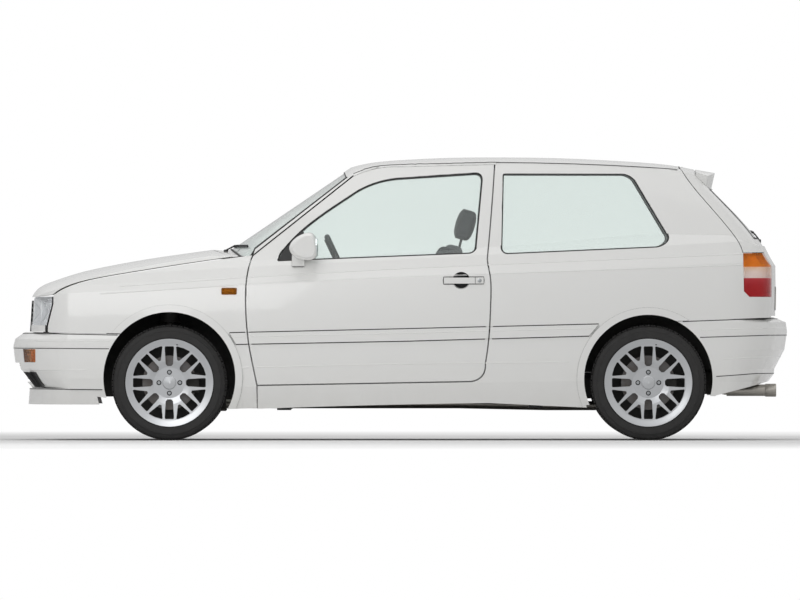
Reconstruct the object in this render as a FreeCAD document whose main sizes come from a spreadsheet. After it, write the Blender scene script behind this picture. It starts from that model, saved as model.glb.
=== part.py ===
import FreeCAD, Part
import math
import os
import Sketcher

V = FreeCAD.Vector
os.makedirs("parts", exist_ok=True)
doc = FreeCAD.newDocument("three_door_hatchback")

# Driving dimensions, in millimetres and degrees
DIMENSIONS = {
    "wheelbase": 2475,
    "front_overhang": 817,
    "rear_overhang": 728,
    "body_width": 1690,
    "body_height": 1465,
    "track": 1430,
    "tyre_radius": 298,
    "tyre_width": 205,
    "tyre_shoulder": 26,
    "rim_radius": 227,
    "rim_seat_radius": 215,
    "rim_wall": 7,
    "rim_window_radius": 192,
    "hub_face_radius": 78,
    "spoke_depth": 22,
    "disc_radius": 140,
    "disc_thickness": 22,
    "arch_front_radius": 341,
    "arch_rear_radius": 332,
    "well_radius": 372,
    "panel_thickness": 12,
    "panel_gap": 7,
    "door_thickness": 95,
    "pillar_thickness": 45,
    "tailgate_thickness": 45,
    "rebate_depth": 20,
    "step_inset": 18,
    "inner_inset": 32,
    "glass_thickness": 5,
    "glass_setback": 6,
    "seat_clearance": 0.3,
    "floor_height": 215,
    "floor_thickness": 20,
    "seat_pan_rise": 140,
    "boot_floor_rise": 215,
    "strip_height": 9,
    "exhaust_bore": 60,
}
sheet = doc.addObject("Spreadsheet::Sheet", "dims")
for row, (alias, value) in enumerate(DIMENSIONS.items(), 1):
    sheet.set(f"A{row}", alias)
    sheet.set(f"B{row}", str(value))
    sheet.setAlias(f"B{row}", alias)
doc.recompute()


def size(name):
    return float(sheet.get(name))


# Stations of the side view: the drawn car's own axles and ends
DRAWN_FRONT_AXLE = -1193
DRAWN_REAR_AXLE = 1282
DRAWN_NOSE = -2010
DRAWN_TAIL = 2010
DRAWN_HALF_WIDTH = 845
DRAWN_HEIGHT = 1465
BELT = 900

LENGTH = size("front_overhang") + size("wheelbase") + size("rear_overhang")
FRONT_AXLE = size("front_overhang") - LENGTH / 2
REAR_AXLE = FRONT_AXLE + size("wheelbase")
WHEEL_Y = size("track") / 2
AXLE_Z = size("tyre_radius")
FAR = 1200
PLAY = size("seat_clearance")
GAP = size("panel_gap")


def sx(x):
    if x < DRAWN_FRONT_AXLE:
        scale = size("front_overhang") / (DRAWN_FRONT_AXLE - DRAWN_NOSE)
        return FRONT_AXLE + (x - DRAWN_FRONT_AXLE) * scale
    if x > DRAWN_REAR_AXLE:
        scale = size("rear_overhang") / (DRAWN_TAIL - DRAWN_REAR_AXLE)
        return REAR_AXLE + (x - DRAWN_REAR_AXLE) * scale
    scale = size("wheelbase") / (DRAWN_REAR_AXLE - DRAWN_FRONT_AXLE)
    return FRONT_AXLE + (x - DRAWN_FRONT_AXLE) * scale


def sy(y):
    return y * size("body_width") / 2 / DRAWN_HALF_WIDTH


def sz(z):
    if z < BELT:
        return z
    return BELT + (z - BELT) * (size("body_height") - BELT) / (DRAWN_HEIGHT - BELT)


def bezier(points):
    curve = Part.BezierCurve()
    curve.setPoles([V(*p) for p in points])
    return curve.toShape()


def spline(points):
    curve = Part.BSplineCurve()
    curve.interpolate([V(*p) for p in points])
    return curve.toShape()


def segment(start, end):
    return Part.LineSegment(V(*start), V(*end)).toShape()


def box(x0, x1, y0, y1, z0, z1):
    return Part.makeBox(x1 - x0, y1 - y0, z1 - z0, V(x0, y0, z0))


def across(x, z, radius, y0, y1):
    return Part.makeCylinder(radius, y1 - y0, V(x, y0, z), V(0, 1, 0))


# A level of the body seen from above: bowed nose, rounded corners, full sides, bowed tail
def blend_point(a, b, share):
    return (a[0] + (b[0] - a[0]) * share, a[1] + (b[1] - a[1]) * share)


def crossing(a, along_a, b, along_b):
    turn = along_a[0] * along_b[1] - along_a[1] * along_b[0]
    u = ((b[0] - a[0]) * along_b[1] - (b[1] - a[1]) * along_b[0]) / turn
    return (a[0] + u * along_a[0], a[1] + u * along_a[1])


def ring(height, rise, nose, tail, nose_bow, tail_bow, nose_y, tail_y, sides, side_x, fullness=0.6):
    y_front, y_mid, y_rear = sides
    x_front, x_rear = side_x
    nose_end = (nose + nose_bow, nose_y)
    nose_way = (2 * nose_bow / nose_y, 1)
    tail_end = (tail - tail_bow, tail_y)
    tail_way = (2 * tail_bow / tail_y, -1)
    front = (x_front, y_front)
    rear = (x_rear, y_rear)
    belly = (8 * y_mid - y_front - y_rear) / 6
    third = (x_rear - x_front) / 3
    side_a = (x_front + third, belly)
    side_b = (x_rear - third, belly)
    front_corner = crossing(nose_end, nose_way, front, (third, belly - y_front))
    rear_corner = crossing(rear, (third, y_rear - belly), tail_end, tail_way)
    right = [
        (nose_end, blend_point(nose_end, front_corner, fullness),
         blend_point(front, front_corner, fullness), front),
        (front, side_a, side_b, rear),
        (rear, blend_point(rear, rear_corner, fullness),
         blend_point(tail_end, rear_corner, fullness), tail_end),
    ]
    nose_curve = ((nose_end[0], -nose_y), (nose - nose_bow, 0), nose_end)
    tail_curve = (tail_end, (tail + tail_bow, 0), (tail_end[0], -tail_y))
    left = [tuple((x, -y) for x, y in reversed(e)) for e in reversed(right)]
    edges = [nose_curve] + right + [tail_curve] + left
    return Part.Wire([bezier([(x, y, height + rise * x) for x, y in e]) for e in edges])


# Body levels: height, rise along the car, nose, tail, half widths at nose, middle and tail
BODY_LEVELS = (
    (150, 0, -1895, 1875, 765, 795, 763),
    (290, 0.018, -1930, 1915, 800, 828, 797),
    (396, 0.013, -1945, 1935, 806, 838, 803),
    (545, 0.02, -1950, 1945, 810, 845, 806),
    (700, 0.03, -1945, 1950, 804, 841, 800),
    (838, 0.045, -1930, 1948, 788, 824, 782),
    (883, 0.049, -1925, 1945, 766, 800, 757),
    (936, 0.052, -1915, 1935, 745, 778, 734),
    (1040, 0.052, -1885, 1900, 660, 700, 655),
)
NOSE_BOW = 75
TAIL_BOW = 30
CORNER_Y = 600
SIDE_START = -1700
SIDE_END = 1680


def body_ring(level, inset):
    height, rise, nose, tail, y_front, y_mid, y_rear = level
    sides = tuple(sy(y) - inset for y in (y_front, y_mid, y_rear))
    corner = min(sy(CORNER_Y), sides[0] - 40, sides[2] - 40)
    return ring(sz(height), rise, sx(nose) + inset, sx(tail) - inset, NOSE_BOW, TAIL_BOW,
                corner, corner, sides, (sx(SIDE_START), sx(SIDE_END)))


def lower_body(inset):
    rings = [body_ring(level, inset) for level in BODY_LEVELS]
    skirt = Part.makeLoft(rings[0:3], True, True)
    flank = Part.makeLoft(rings[2:6], True, False)
    shoulder = Part.makeLoft(rings[5:9], True, True)
    return skirt.fuse([flank, shoulder])


# Upper surface of bonnet and tail, as closed side profiles lofted across the car
BONNET_LINE = ((-1913, 739), (-1871, 792), (-1805, 822), (-1673, 865), (-1541, 896),
               (-1278, 943), (-974, 986))
TAIL_LINE = ((1893, 1004), (1924, 942), (1948, 903))
COWL_POINTS = ((-870, 978), (-760, 1100))
SCREEN_BOW = 0.00022
COVER_STATIONS = (-950, -480, 0, 480, 950)


def cover_profile(y, inset):
    share = (y / 700) ** 2
    drop = 30 * share + inset
    sweep = 50 * share
    run = BONNET_LINE[-1][0] - BONNET_LINE[0][0]
    front = []
    for x, z in BONNET_LINE:
        back = sweep * (BONNET_LINE[-1][0] - x) / run
        front.append((sx(x) + back + inset * 0.6, y, sz(z) - drop))
    tail_sweep = TAIL_BOW * (y / CORNER_Y) ** 2 + inset
    rear = [(sx(x) - tail_sweep, y, sz(z)) for x, z in TAIL_LINE]
    sill = 60
    first = (sx(-1955) + sweep + inset, y, sill)
    out = (sx(2100), y, sz(850))
    below = (sx(2100), y, sill)
    bow = SCREEN_BOW * y ** 2
    cowl = (sx(COWL_POINTS[0][0]) + bow, y, sz(COWL_POINTS[0][1]) - drop)
    crest = (sx(COWL_POINTS[1][0]) + bow, y, sz(COWL_POINTS[1][1]))
    shelf = (sx(1700), y, sz(1060))
    return Part.Wire([segment(first, front[0]), spline(front), segment(front[-1], cowl),
                      segment(cowl, crest), segment(crest, shelf), segment(shelf, rear[0]), spline(rear),
                      segment(rear[-1], out), segment(out, below), segment(below, first)])


def cover(inset):
    return Part.makeLoft([cover_profile(sy(y), inset) for y in COVER_STATIONS], True, False)


# Cabin above the belt: raked screen, leaning sides, sloping backlight, crowned roof
CABIN_LEVELS = ((900, 782, 752, 735), (1060, 722, 700, 680), (1250, 650, 622, 606),
                (1480, 548, 520, 505))
ROOF_LINE = ((-1000, 1200), (-420, 1345), (-223, 1423), (-1, 1452), (262, 1464), (526, 1466),
             (790, 1463), (1054, 1452), (1251, 1440), (1443, 1419), (1535, 1400), (1700, 1350),
             (2100, 1200))
ROOF_STATIONS = (-900, -450, 0, 450, 900)
SCREEN_BASE = (-902, 976)
SCREEN_RUN = 611 / 414
BACK_BASE = (1887, 1015)
BACK_RUN = 0.915
TAIL_RUN = 0.4


def screen_x(z):
    return SCREEN_BASE[0] + (z - SCREEN_BASE[1]) * SCREEN_RUN


def back_x(z):
    run = BACK_RUN if z > BACK_BASE[1] else TAIL_RUN
    return BACK_BASE[0] - (z - BACK_BASE[1]) * run


def cabin_ring(level, inset):
    z, y_mid, y_front, y_rear = level
    sides = tuple(sy(y) - inset for y in (y_front, y_mid, y_rear))
    nose = sx(screen_x(z)) + inset * 1.7
    tail = sx(back_x(z)) - inset * 1.4
    nose_y = sides[0] - 40
    tail_y = sides[2] - 75
    nose_bow = SCREEN_BOW * nose_y ** 2
    tail_bow = 0.00009 * (sides[2] - 60) ** 2
    side_x = (nose + nose_bow + 35, tail - tail_bow - 85)
    return ring(sz(z), 0, nose, tail, nose_bow, tail_bow, nose_y, tail_y, sides, side_x)


def roof_profile(y, inset):
    drop = 30 * (y / 575) ** 2 + inset
    top = [(sx(x), y, sz(z) - drop) for x, z in ROOF_LINE]
    front = (top[0][0], y, 300)
    rear = (top[-1][0], y, 300)
    return Part.Wire([spline(top), segment(top[-1], rear), segment(rear, front),
                      segment(front, top[0])])


def cabin(inset, roof_inset=None):
    roof_inset = inset if roof_inset is None else roof_inset
    stack = Part.makeLoft([cabin_ring(level, inset) for level in CABIN_LEVELS], True, False)
    roof = Part.makeLoft([roof_profile(sy(y), roof_inset) for y in ROOF_STATIONS], True, False)
    return stack.common(roof)


ENVELOPES = {}


def envelope(inset):
    if inset not in ENVELOPES:
        ENVELOPES[inset] = lower_body(inset).common(cover(inset)).fuse(cabin(inset))
    return ENVELOPES[inset]


# Side-view regions, each pushed across the left half of the car
def polygon(points):
    closed = list(points) + [points[0]]
    return tuple(zip(closed[:-1], closed[1:]))


def grown(points, distance):
    area = sum(a[0] * b[1] - b[0] * a[1] for a, b in zip(points, points[1:] + points[:1]))
    outward = distance if area > 0 else -distance
    moved = []
    for i, here in enumerate(points):
        before = points[i - 1]
        after = points[(i + 1) % len(points)]
        ways = []
        for a, b in ((before, here), (here, after)):
            run = math.dist(a, b)
            ways.append(((b[1] - a[1]) / run, (a[0] - b[0]) / run))
        spread = 1 + ways[0][0] * ways[1][0] + ways[0][1] * ways[1][1]
        shift = [outward * (ways[0][k] + ways[1][k]) / spread for k in (0, 1)]
        moved.append((here[0] + shift[0], here[1] + shift[1]))
    return moved


def outline(strokes, growth=0.0):
    corners = [(sx(x), sz(z)) for stroke in strokes for x, z in stroke[:-1]]
    if growth:
        corners = grown(corners, growth)
    corners.append(corners[0])
    edges = []
    first = 0
    for stroke in strokes:
        last = first + len(stroke) - 1
        points = [(x, 0, z) for x, z in corners[first:last + 1]]
        edges.append(segment(*points) if len(points) == 2 else spline(points))
        first = last
    return Part.Wire(edges)


def prism(strokes, growth=0.0, y0=-sy(450), y1=-FAR):
    face = Part.Face(outline(strokes, growth))
    face.translate(V(0, y0, 0))
    return face.extrude(V(0, y1 - y0, 0))


def mirrored(shape):
    return shape.mirror(V(0, 0, 0), V(0, 1, 0))


def both_sides(shape):
    return Part.makeCompound([shape, mirrored(shape)])


def largest(shape):
    return max(shape.Solids, key=lambda s: s.Volume)


PIECES = []


def piece(name, shape):
    feature = doc.addObject("Part::Feature", name)
    feature.Label = name
    feature.Shape = shape
    feature.Placement = FreeCAD.Placement()
    PIECES.append(feature)
    return feature


def finished(item):
    PIECES.append(item)
    return item


# Shells of the whole car at the depths that the panels need
SKIN = envelope(0)
UNDER_SKIN = envelope(size("panel_thickness"))
REBATE = envelope(size("rebate_depth"))
PROUD = lower_body(-size("strip_height"))

CAVITY_FRONT = -800
CAVITY_FLOOR = size("floor_height") + size("floor_thickness")
LEDGE = 960
cavity_low = lower_body(size("door_thickness")).common(
    box(sx(CAVITY_FRONT), sx(1860), -FAR, FAR, CAVITY_FLOOR, sz(1100)))
cavity_low = cavity_low.common(cover(size("tailgate_thickness")))
cavity_high = cabin(size("pillar_thickness"), 25).common(
    box(sx(-2000), sx(2000), -FAR, FAR, sz(LEDGE), 2000))
CAVITY = cavity_low.fuse(cavity_high)

# Lines of the side view
DOOR_LINE = (
    ((-763, 954), (-783, 894), (-799, 762), (-796, 630), (-783, 499), (-763, 393), (-740, 284)),
    ((-740, 284), (368, 304)),
    ((368, 304), (421, 331), (440, 397)),
    ((440, 397), (460, 555), (467, 700), (463, 859), (454, 905), (450, 938)),
    ((450, 938), (480, 1294), (489, 1429)),
    ((489, 1429), (-1, 1417)),
    ((-1, 1417), (-157, 1400), (-243, 1368)),
    ((-243, 1368), (-763, 954)),
)
DOOR_WINDOW = (
    ((-632, 925), (-629, 954), (-604, 990)),
    ((-604, 990), (-506, 1091), (-372, 1193), (-223, 1292)),
    ((-223, 1292), (-116, 1338), (-1, 1358)),
    ((-1, 1358), (390, 1383)),
    ((390, 1383), (415, 1375), (427, 1346)),
    ((427, 1346), (396, 1010)),
    ((396, 1010), (384, 977), (355, 964)),
    ((355, 964), (-632, 925)),
)
QUARTER_WINDOW = (
    ((546, 1380), (1133, 1379)),
    ((1133, 1379), (1180, 1372), (1212, 1349)),
    ((1212, 1349), (1377, 1072)),
    ((1377, 1072), (1384, 1030), (1350, 1003), (1317, 996)),
    ((1317, 996), (553, 962)),
    ((553, 962), (530, 972), (522, 1004)),
    ((522, 1004), (530, 1365)),
    ((530, 1365), (535, 1377), (546, 1380)),
)
GUTTER = ((1443, 1400), (1186, 1417), (790, 1433), (487, 1436), (-1, 1420), (-157, 1404),
          (-243, 1371))
SHUT_TAIL = ((1770, 968), (1759, 1001), (1713, 1074), (1581, 1231), (1445, 1414))
BONNET_SHUT = ((-763, 960), (-1014, 926), (-1278, 886), (-1541, 842), (-1673, 812), (-1766, 772),
               (-1796, 750))
REAR_FACE_Y = sy(572)
SILL_Y = sy(600)

# Wheel openings
front_arch = across(FRONT_AXLE, AXLE_Z + 24, size("arch_front_radius"), -FAR, FAR)
rear_arch = across(REAR_AXLE, AXLE_Z + 19, size("arch_rear_radius"), -FAR, FAR)
WELL_Y = sy(800)
rear_opening = across(REAR_AXLE, AXLE_Z + 19, size("arch_rear_radius"), -FAR, -WELL_Y + 1)
FRONT_WELL_IN = WHEEL_Y - 275
REAR_WELL_IN = WHEEL_Y - 130
front_well = across(FRONT_AXLE, AXLE_Z + 10, size("well_radius"), -WELL_Y, -FRONT_WELL_IN)
rear_well = across(REAR_AXLE, AXLE_Z + 19, size("arch_rear_radius") + 18, -WELL_Y, -REAR_WELL_IN)

# Raised rub strip along the flank and raised lips round the wheel openings
STRIP_LINE = polygon(((-882, 554), (-1, 574), (1025, 599), (975, 541), (-1, 514), (-849, 498)))
ARCH_LIP = 36
strip = PROUD.cut(SKIN).common(prism(STRIP_LINE))
raised_skin = PROUD.cut(UNDER_SKIN)
front_lip = across(FRONT_AXLE, AXLE_Z + 24, size("arch_front_radius") + ARCH_LIP, -FAR, -sy(650))
rear_lip = across(REAR_AXLE, AXLE_Z + 19, size("arch_rear_radius") + ARCH_LIP, -FAR, -sy(650))

# Left body side: sill, pillars, roof rail, quarter panel and wheel housing
side_region = prism((
    ((-737, 163), (-1, 185), (460, 193)),
    ((460, 193), (790, 177), (946, 170)),
    ((946, 170), (2100, 170)),
    ((2100, 170), (2100, 968)),
    ((2100, 968), (1770, 968)),
    SHUT_TAIL,
    ((1445, 1414), (1443, 1400)),
    GUTTER,
    ((-243, 1371), (-276, 1357)),
    ((-276, 1357), (-750, 987)),
    ((-750, 987), (-760, 957)),
    ((-760, 957), (-737, 284)),
    ((-737, 284), (-737, 163)),
), 0, -sy(400))
wall = SKIN.cut(CAVITY).common(side_region)
middle_low = box(-3000, 3000, -SILL_Y, 0, 0, CAVITY_FLOOR)
middle_rear = box(sx(1650), 3000, -REAR_FACE_Y, 0, 0, sz(968))
bumper_zone = prism(polygon(((1380, 50), (1380, 616), (1462, 618), (1937, 635), (2100, 640),
                             (2100, 50))))
housing = across(REAR_AXLE, AXLE_Z + 19, size("arch_rear_radius") + 30, -WELL_Y + 20,
                 -REAR_WELL_IN + 12)
housing = housing.common(box(-3000, 3000, -FAR, 0, CAVITY_FLOOR - 30, 3000))
axle_room = box(REAR_AXLE - 380, REAR_AXLE + 380, -REAR_WELL_IN - 2, -REAR_WELL_IN + 14, 0,
                size("floor_height") + size("seat_pan_rise") - 5)
pillar = lower_body(58).cut(lower_body(size("door_thickness") + 15)).common(
    box(sx(-850), sx(-690), -FAR, -sy(500), size("floor_height"), sz(930)))
TAIL_LAMP = polygon(((2100, 741), (1805, 741), (1776, 770), (1772, 968), (2100, 968)))
door_rebate = prism(DOOR_LINE, GAP / 2).cut(REBATE)
door_hole = prism(DOOR_LINE, -size("step_inset"))
behind_door = side_region.cut([prism(DOOR_LINE, GAP / 2), bumper_zone])
wall = wall.cut([middle_low, middle_rear, bumper_zone])
body_side = wall.fuse([housing, raised_skin.common(rear_lip).common(behind_door),
                       strip.common(behind_door)])
body_side = body_side.cut([rear_well, rear_opening, axle_room, door_rebate])
HINGE_X = -758
HINGE_Y = -sy(828)
HINGE_HEIGHTS = ((425, 465), (745, 785))
HINGE_ANGLE = 112


def door_hinge(low, top):
    barrel = Part.makeCylinder(4, top - low, V(sx(HINGE_X), HINGE_Y, low))
    arm = Part.makeBox(64, 5, top - low, V(0, -2.5, 0))
    arm.rotate(V(0, 0, 0), V(0, 0, 1), HINGE_ANGLE)
    arm.translate(V(sx(HINGE_X), HINGE_Y, low))
    return barrel.fuse(arm)


def hinge_pocket(low, top):
    room = Part.makeCylinder(6.5, top - low + 2 * PLAY, V(sx(HINGE_X), HINGE_Y, low - PLAY))
    slot = box(sx(HINGE_X) - 60, sx(HINGE_X) + 4, HINGE_Y - 5, HINGE_Y + 40, low - PLAY, top + PLAY)
    return room.fuse(slot)


door_hinges = [door_hinge(*span) for span in HINGE_HEIGHTS]
JACK_PADS = ((-600, 158), (700, 170))
jack_pads = [box(sx(x) - 35, sx(x) + 35, -WHEEL_Y - 25, -WHEEL_Y + 25, z, 200) for x, z in JACK_PADS]
body_side = body_side.fuse([pillar.cut(front_well)] + jack_pads)
body_side = body_side.cut([door_hole, prism(QUARTER_WINDOW), prism(TAIL_LAMP, 0, -REAR_FACE_Y)])
body_side = body_side.fuse(door_hinges)
piece("body_side_left", body_side)
piece("body_side_right", mirrored(body_side))

# Left door: thin skin to the shut line, thick body inside it, window cut through both
door_skin = SKIN.cut(UNDER_SKIN).common(prism(DOOR_LINE, -GAP / 2))
door_body = envelope(1).cut(CAVITY).common(prism(DOOR_LINE, -size("inner_inset")))
HANDLE_X = (226, 431)
HANDLE_Z = (810, 841)
RECESS_X = (262, 368)
RECESS_Z = (782, 875)
skin_y = sy(822)
recess_centre = V(sx(sum(RECESS_X) / 2), -skin_y - 12, sz(sum(RECESS_Z) / 2))
recess = Part.makeSphere((RECESS_Z[1] - RECESS_Z[0]) / 2, recess_centre)
handle = box(sx(HANDLE_X[0]), sx(HANDLE_X[1]), -skin_y - 14, -skin_y - 2, HANDLE_Z[0], HANDLE_Z[1])
handle_feet = [box(sx(x), sx(x) + 30, -skin_y - 12, -skin_y + 15, HANDLE_Z[0], HANDLE_Z[1])
               for x in (HANDLE_X[0], HANDLE_X[1] - 30)]
door = door_skin.fuse(door_body)
door = door.fuse(strip.common(prism(DOOR_LINE, -GAP / 2)))
hinge_pockets = [hinge_pocket(*span) for span in HINGE_HEIGHTS]
door = door.cut([prism(DOOR_WINDOW), recess] + hinge_pockets).fuse([handle] + handle_feet)
piece("door_left", door)
piece("door_right", mirrored(door))

# Glass, all set back by the same depth below the skin
GLASS_OUT = envelope(size("glass_setback"))
GLASS_IN = envelope(size("glass_setback") + size("glass_thickness"))
glass_shell = GLASS_OUT.cut(GLASS_IN)
door_glass = glass_shell.common(prism(DOOR_WINDOW, -PLAY))
piece("door_glass_left", door_glass)
piece("door_glass_right", mirrored(door_glass))
quarter_glass = glass_shell.common(prism(QUARTER_WINDOW, -PLAY))
piece("quarter_windows", both_sides(quarter_glass))

# Windscreen and cowl between bonnet and screen
SCREEN_LINE = polygon(((-1100, 900), (-800, 900), (-750, 987), (-276, 1357), (-291, 1392),
                       (-400, 1500), (-1100, 1500)))


def screen_foot(offset):
    ahead = sx(-1100)
    half = sy(760)
    foot = sz(986) + offset
    corners = ((ahead, half, foot - 44), (ahead, half, sz(1500)), (ahead, -half, sz(1500)),
               (ahead, -half, foot - 44))
    curve = bezier((corners[3], (ahead, 0, foot + 44), corners[0]))
    rim = [segment(a, b) for a, b in zip(corners[:-1], corners[1:])]
    return Part.Face(Part.Wire([curve] + rim)).extrude(V(1000, 0, 0))


screen_shell = cabin(size("glass_setback")).cut(cabin(size("glass_setback") + size("glass_thickness")))
windscreen = screen_shell.common(prism(SCREEN_LINE, -PLAY, FAR, -FAR)).common(screen_foot(PLAY))
piece("windscreen", windscreen)


def bonnet_edge(offset):
    corner = sx(-866) + offset
    corners = ((corner, -sy(715), 0), (corner, -FAR, 0), (-3000, -FAR, 0), (-3000, FAR, 0),
               (corner, FAR, 0), (corner, sy(715), 0))
    curve = bezier((corners[5], (sx(-1082) + offset, 0, 0), corners[0]))
    rim = [segment(a, b) for a, b in zip(corners[:-1], corners[1:])]
    return Part.Face(Part.Wire([curve] + rim)).extrude(V(0, 0, 2000))


bonnet_shell = SKIN.cut(envelope(20))
above_shut = prism((
    BONNET_SHUT,
    ((-1796, 750), (-1925, 735)),
    ((-1925, 735), (-3000, 735)),
    ((-3000, 735), (-3000, 1300)),
    ((-3000, 1300), (-600, 1300)),
    ((-600, 1300), (-763, 960)),
), -GAP / 2, FAR, -FAR)
bonnet = bonnet_shell.common(above_shut).common(bonnet_edge(-GAP / 2))
BONNET_AXIS = (sx(-850), 957)
BONNET_HINGE_Y = sy(560)
bonnet_arm = box(sx(-940), BONNET_AXIS[0], -BONNET_HINGE_Y - 4, -BONNET_HINGE_Y + 4,
                 BONNET_AXIS[1] - 18, BONNET_AXIS[1] - 4)
bonnet_arm = bonnet_arm.fuse([
    box(BONNET_AXIS[0] - 12, BONNET_AXIS[0], -BONNET_HINGE_Y - 4, -BONNET_HINGE_Y + 4,
        BONNET_AXIS[1] - 18, BONNET_AXIS[1]),
    across(*BONNET_AXIS, 5, -BONNET_HINGE_Y - 4, -BONNET_HINGE_Y + 4)])
bonnet = bonnet.fuse([bonnet_arm, mirrored(bonnet_arm)])
piece("bonnet", bonnet)

cowl_zone = prism((
    tuple(reversed(BONNET_SHUT)),
    ((-763, 960), (-750, 987)),
    ((-750, 987), (-750, 1200)),
    ((-750, 1200), (-1796, 1200)),
    ((-1796, 1200), (-1796, 750)),
), -PLAY, FAR, -FAR)
cowl = SKIN.cut(UNDER_SKIN).common(cowl_zone).cut([bonnet_edge(GAP / 2), screen_foot(0)])
hinge_slot = box(sx(-1000), BONNET_AXIS[0] + 12, -BONNET_HINGE_Y - 4 - PLAY,
                 -BONNET_HINGE_Y + 4 + PLAY, 900, 1000)
hinge_lugs = [box(BONNET_AXIS[0] - 8, BONNET_AXIS[0] + 8, y, y + 6,
                  BONNET_AXIS[1] - 14, BONNET_AXIS[1] + 4)
              for y in (-BONNET_HINGE_Y - 10 - PLAY, -BONNET_HINGE_Y + 4 + PLAY)]
cowl = cowl.cut([hinge_slot, mirrored(hinge_slot)])
cowl = cowl.fuse(hinge_lugs + [mirrored(lug) for lug in hinge_lugs])
piece("cowl_panel", cowl)

# Left fender with the arch cut and its raised lip
FENDER_LINE = (
    tuple(reversed(BONNET_SHUT)),
    ((-763, 960), (-763, 954)),
    ((-763, 954), (-783, 894), (-799, 762), (-796, 630), (-783, 499), (-763, 393), (-740, 284)),
    ((-740, 284), (-737, 163)),
    ((-737, 163), (-900, 158)),
    ((-900, 158), (-900, 300)),
    ((-900, 300), (-1450, 300)),
    ((-1450, 300), (-1449, 549)),
    ((-1449, 549), (-1825, 556)),
    ((-1825, 556), (-1825, 590)),
    ((-1825, 590), (-1796, 706)),
    ((-1796, 706), (-1796, 750)),
)
fender_zone = prism(FENDER_LINE, -GAP / 2)
door_front = prism(DOOR_LINE, GAP / 2)
fender = SKIN.cut(UNDER_SKIN).common(fender_zone)
fender = fender.fuse([raised_skin.common(front_lip).common(fender_zone), strip.common(fender_zone)])
fender = fender.cut([front_arch, door_front, cabin(size("glass_setback") - PLAY)])
piece("fender_left", fender)
piece("fender_right", mirrored(fender))

# Roof panel with screen header
roof_zone = prism((
    ((-1100, 1800), (-291, 1393)),
    ((-291, 1393), (-276, 1357)),
    ((-276, 1357), (-243, 1371)),
    tuple(reversed(GUTTER)),
    ((1443, 1400), (1445, 1800)),
    ((1445, 1800), (-1100, 1800)),
), -PLAY, FAR, -FAR)
roof_shell = cabin(0).cut(cabin(18))
roof = roof_shell.common(roof_zone)
TAILGATE_AXIS = (sx(1446.5), sz(1416))


def lid_hinge(y0, y1, reach):
    x, z = TAILGATE_AXIS
    arm = box(min(x, x + reach), max(x, x + reach), y0, y1, z - 8, z)
    return across(x, z, 4, y0, y1).fuse(arm)


ROOF_KNUCKLE = (-sy(120) - 10, -sy(120) + 10)
LID_KNUCKLES = ((ROOF_KNUCKLE[0] - 14 - PLAY, ROOF_KNUCKLE[0] - PLAY),
                (ROOF_KNUCKLE[1] + PLAY, ROOF_KNUCKLE[1] + 14 + PLAY))
roof_knuckle = lid_hinge(*ROOF_KNUCKLE, -24)
lid_room = [across(*TAILGATE_AXIS, 9, *span) for span in LID_KNUCKLES]
roof = roof.cut(lid_room + [mirrored(room) for room in lid_room])
roof = roof.fuse([roof_knuckle, mirrored(roof_knuckle)])
piece("roof_panel", roof)

# Tailgate with backlight, spoiler on its upper edge
tail_zone = prism((
    tuple(reversed(SHUT_TAIL)),
    ((1770, 968), (2100, 968)),
    ((2100, 968), (2100, 1800)),
    ((2100, 1800), (1445, 1800)),
    ((1445, 1800), (1445, 1414)),
), -GAP / 2, FAR, -FAR)
tail_lower = box(sx(1700), 3000, -REAR_FACE_Y + GAP / 2, REAR_FACE_Y - GAP / 2,
                 sz(639) + GAP / 2, sz(980))
tail_shell = SKIN.cut(envelope(size("tailgate_thickness")))
tailgate = tail_shell.common(tail_zone.fuse(tail_lower))
BACKLIGHT = ((540, 1040), (470, 1298))


def backlight(growth):
    (low_y, low_z), (top_y, top_z) = BACKLIGHT
    corners = grown([(-sy(low_y), sz(low_z)), (sy(low_y), sz(low_z)), (sy(top_y), sz(top_z)),
                     (-sy(top_y), sz(top_z))], growth)
    closed = corners + [corners[0]]
    face = Part.Face(Part.makePolygon([V(sx(1300), y, z) for y, z in closed]))
    return face.extrude(V(1000, 0, 0))


roof_room = across(*TAILGATE_AXIS, 9, ROOF_KNUCKLE[0] - PLAY, ROOF_KNUCKLE[1] + PLAY)
lid_knuckles = [lid_hinge(*span, 20) for span in LID_KNUCKLES]
tailgate = tailgate.cut([backlight(0), roof_room, mirrored(roof_room)])
tailgate = tailgate.fuse(lid_knuckles + [mirrored(knuckle) for knuckle in lid_knuckles])
piece("tailgate", tailgate)
piece("tailgate_glass", glass_shell.common(backlight(-PLAY)).common(tail_zone))

SPOILER = ((1500, 1300), (1535, 1402), (1631, 1385), (1612, 1300))
SPOILER_STATIONS = ((-500, 16, 40), (-420, 9, 16), (0, 0, 0), (420, 9, 16), (500, 16, 40))


def spoiler_ring(y, drop, pull):
    corners = [V(sx(x) - (pull if x > 1600 else 0), sy(y), sz(z) - drop) for x, z in SPOILER]
    return Part.makePolygon(corners + corners[:1])


spoiler = Part.makeLoft([spoiler_ring(*station) for station in SPOILER_STATIONS], True, False)
apart = SKIN.copy()
apart.translate(V(PLAY, 0, PLAY))
piece("roof_spoiler", largest(spoiler.cut(apart)))

# Bumpers, ruled between creases seen in the side view
FRONT_BUMPER = ((262, -1905, 795), (320, -1955, 808), (370, -1996, 812), (430, -2004, 815),
                (488, -2010, 817), (524, -2000, 816), (560, -1948, 812))
REAR_BUMPER = ((228, 1880, 784), (303, 1911, 792), (340, 1940, 800), (369, 1944, 802),
               (468, 1996, 808), (560, 2010, 812), (610, 2003, 810), (635, 1940, 806))
LIP_LEVELS = ((185, -1931, 770), (268, -1925, 792))
BUMPER_BOW = 80


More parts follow.
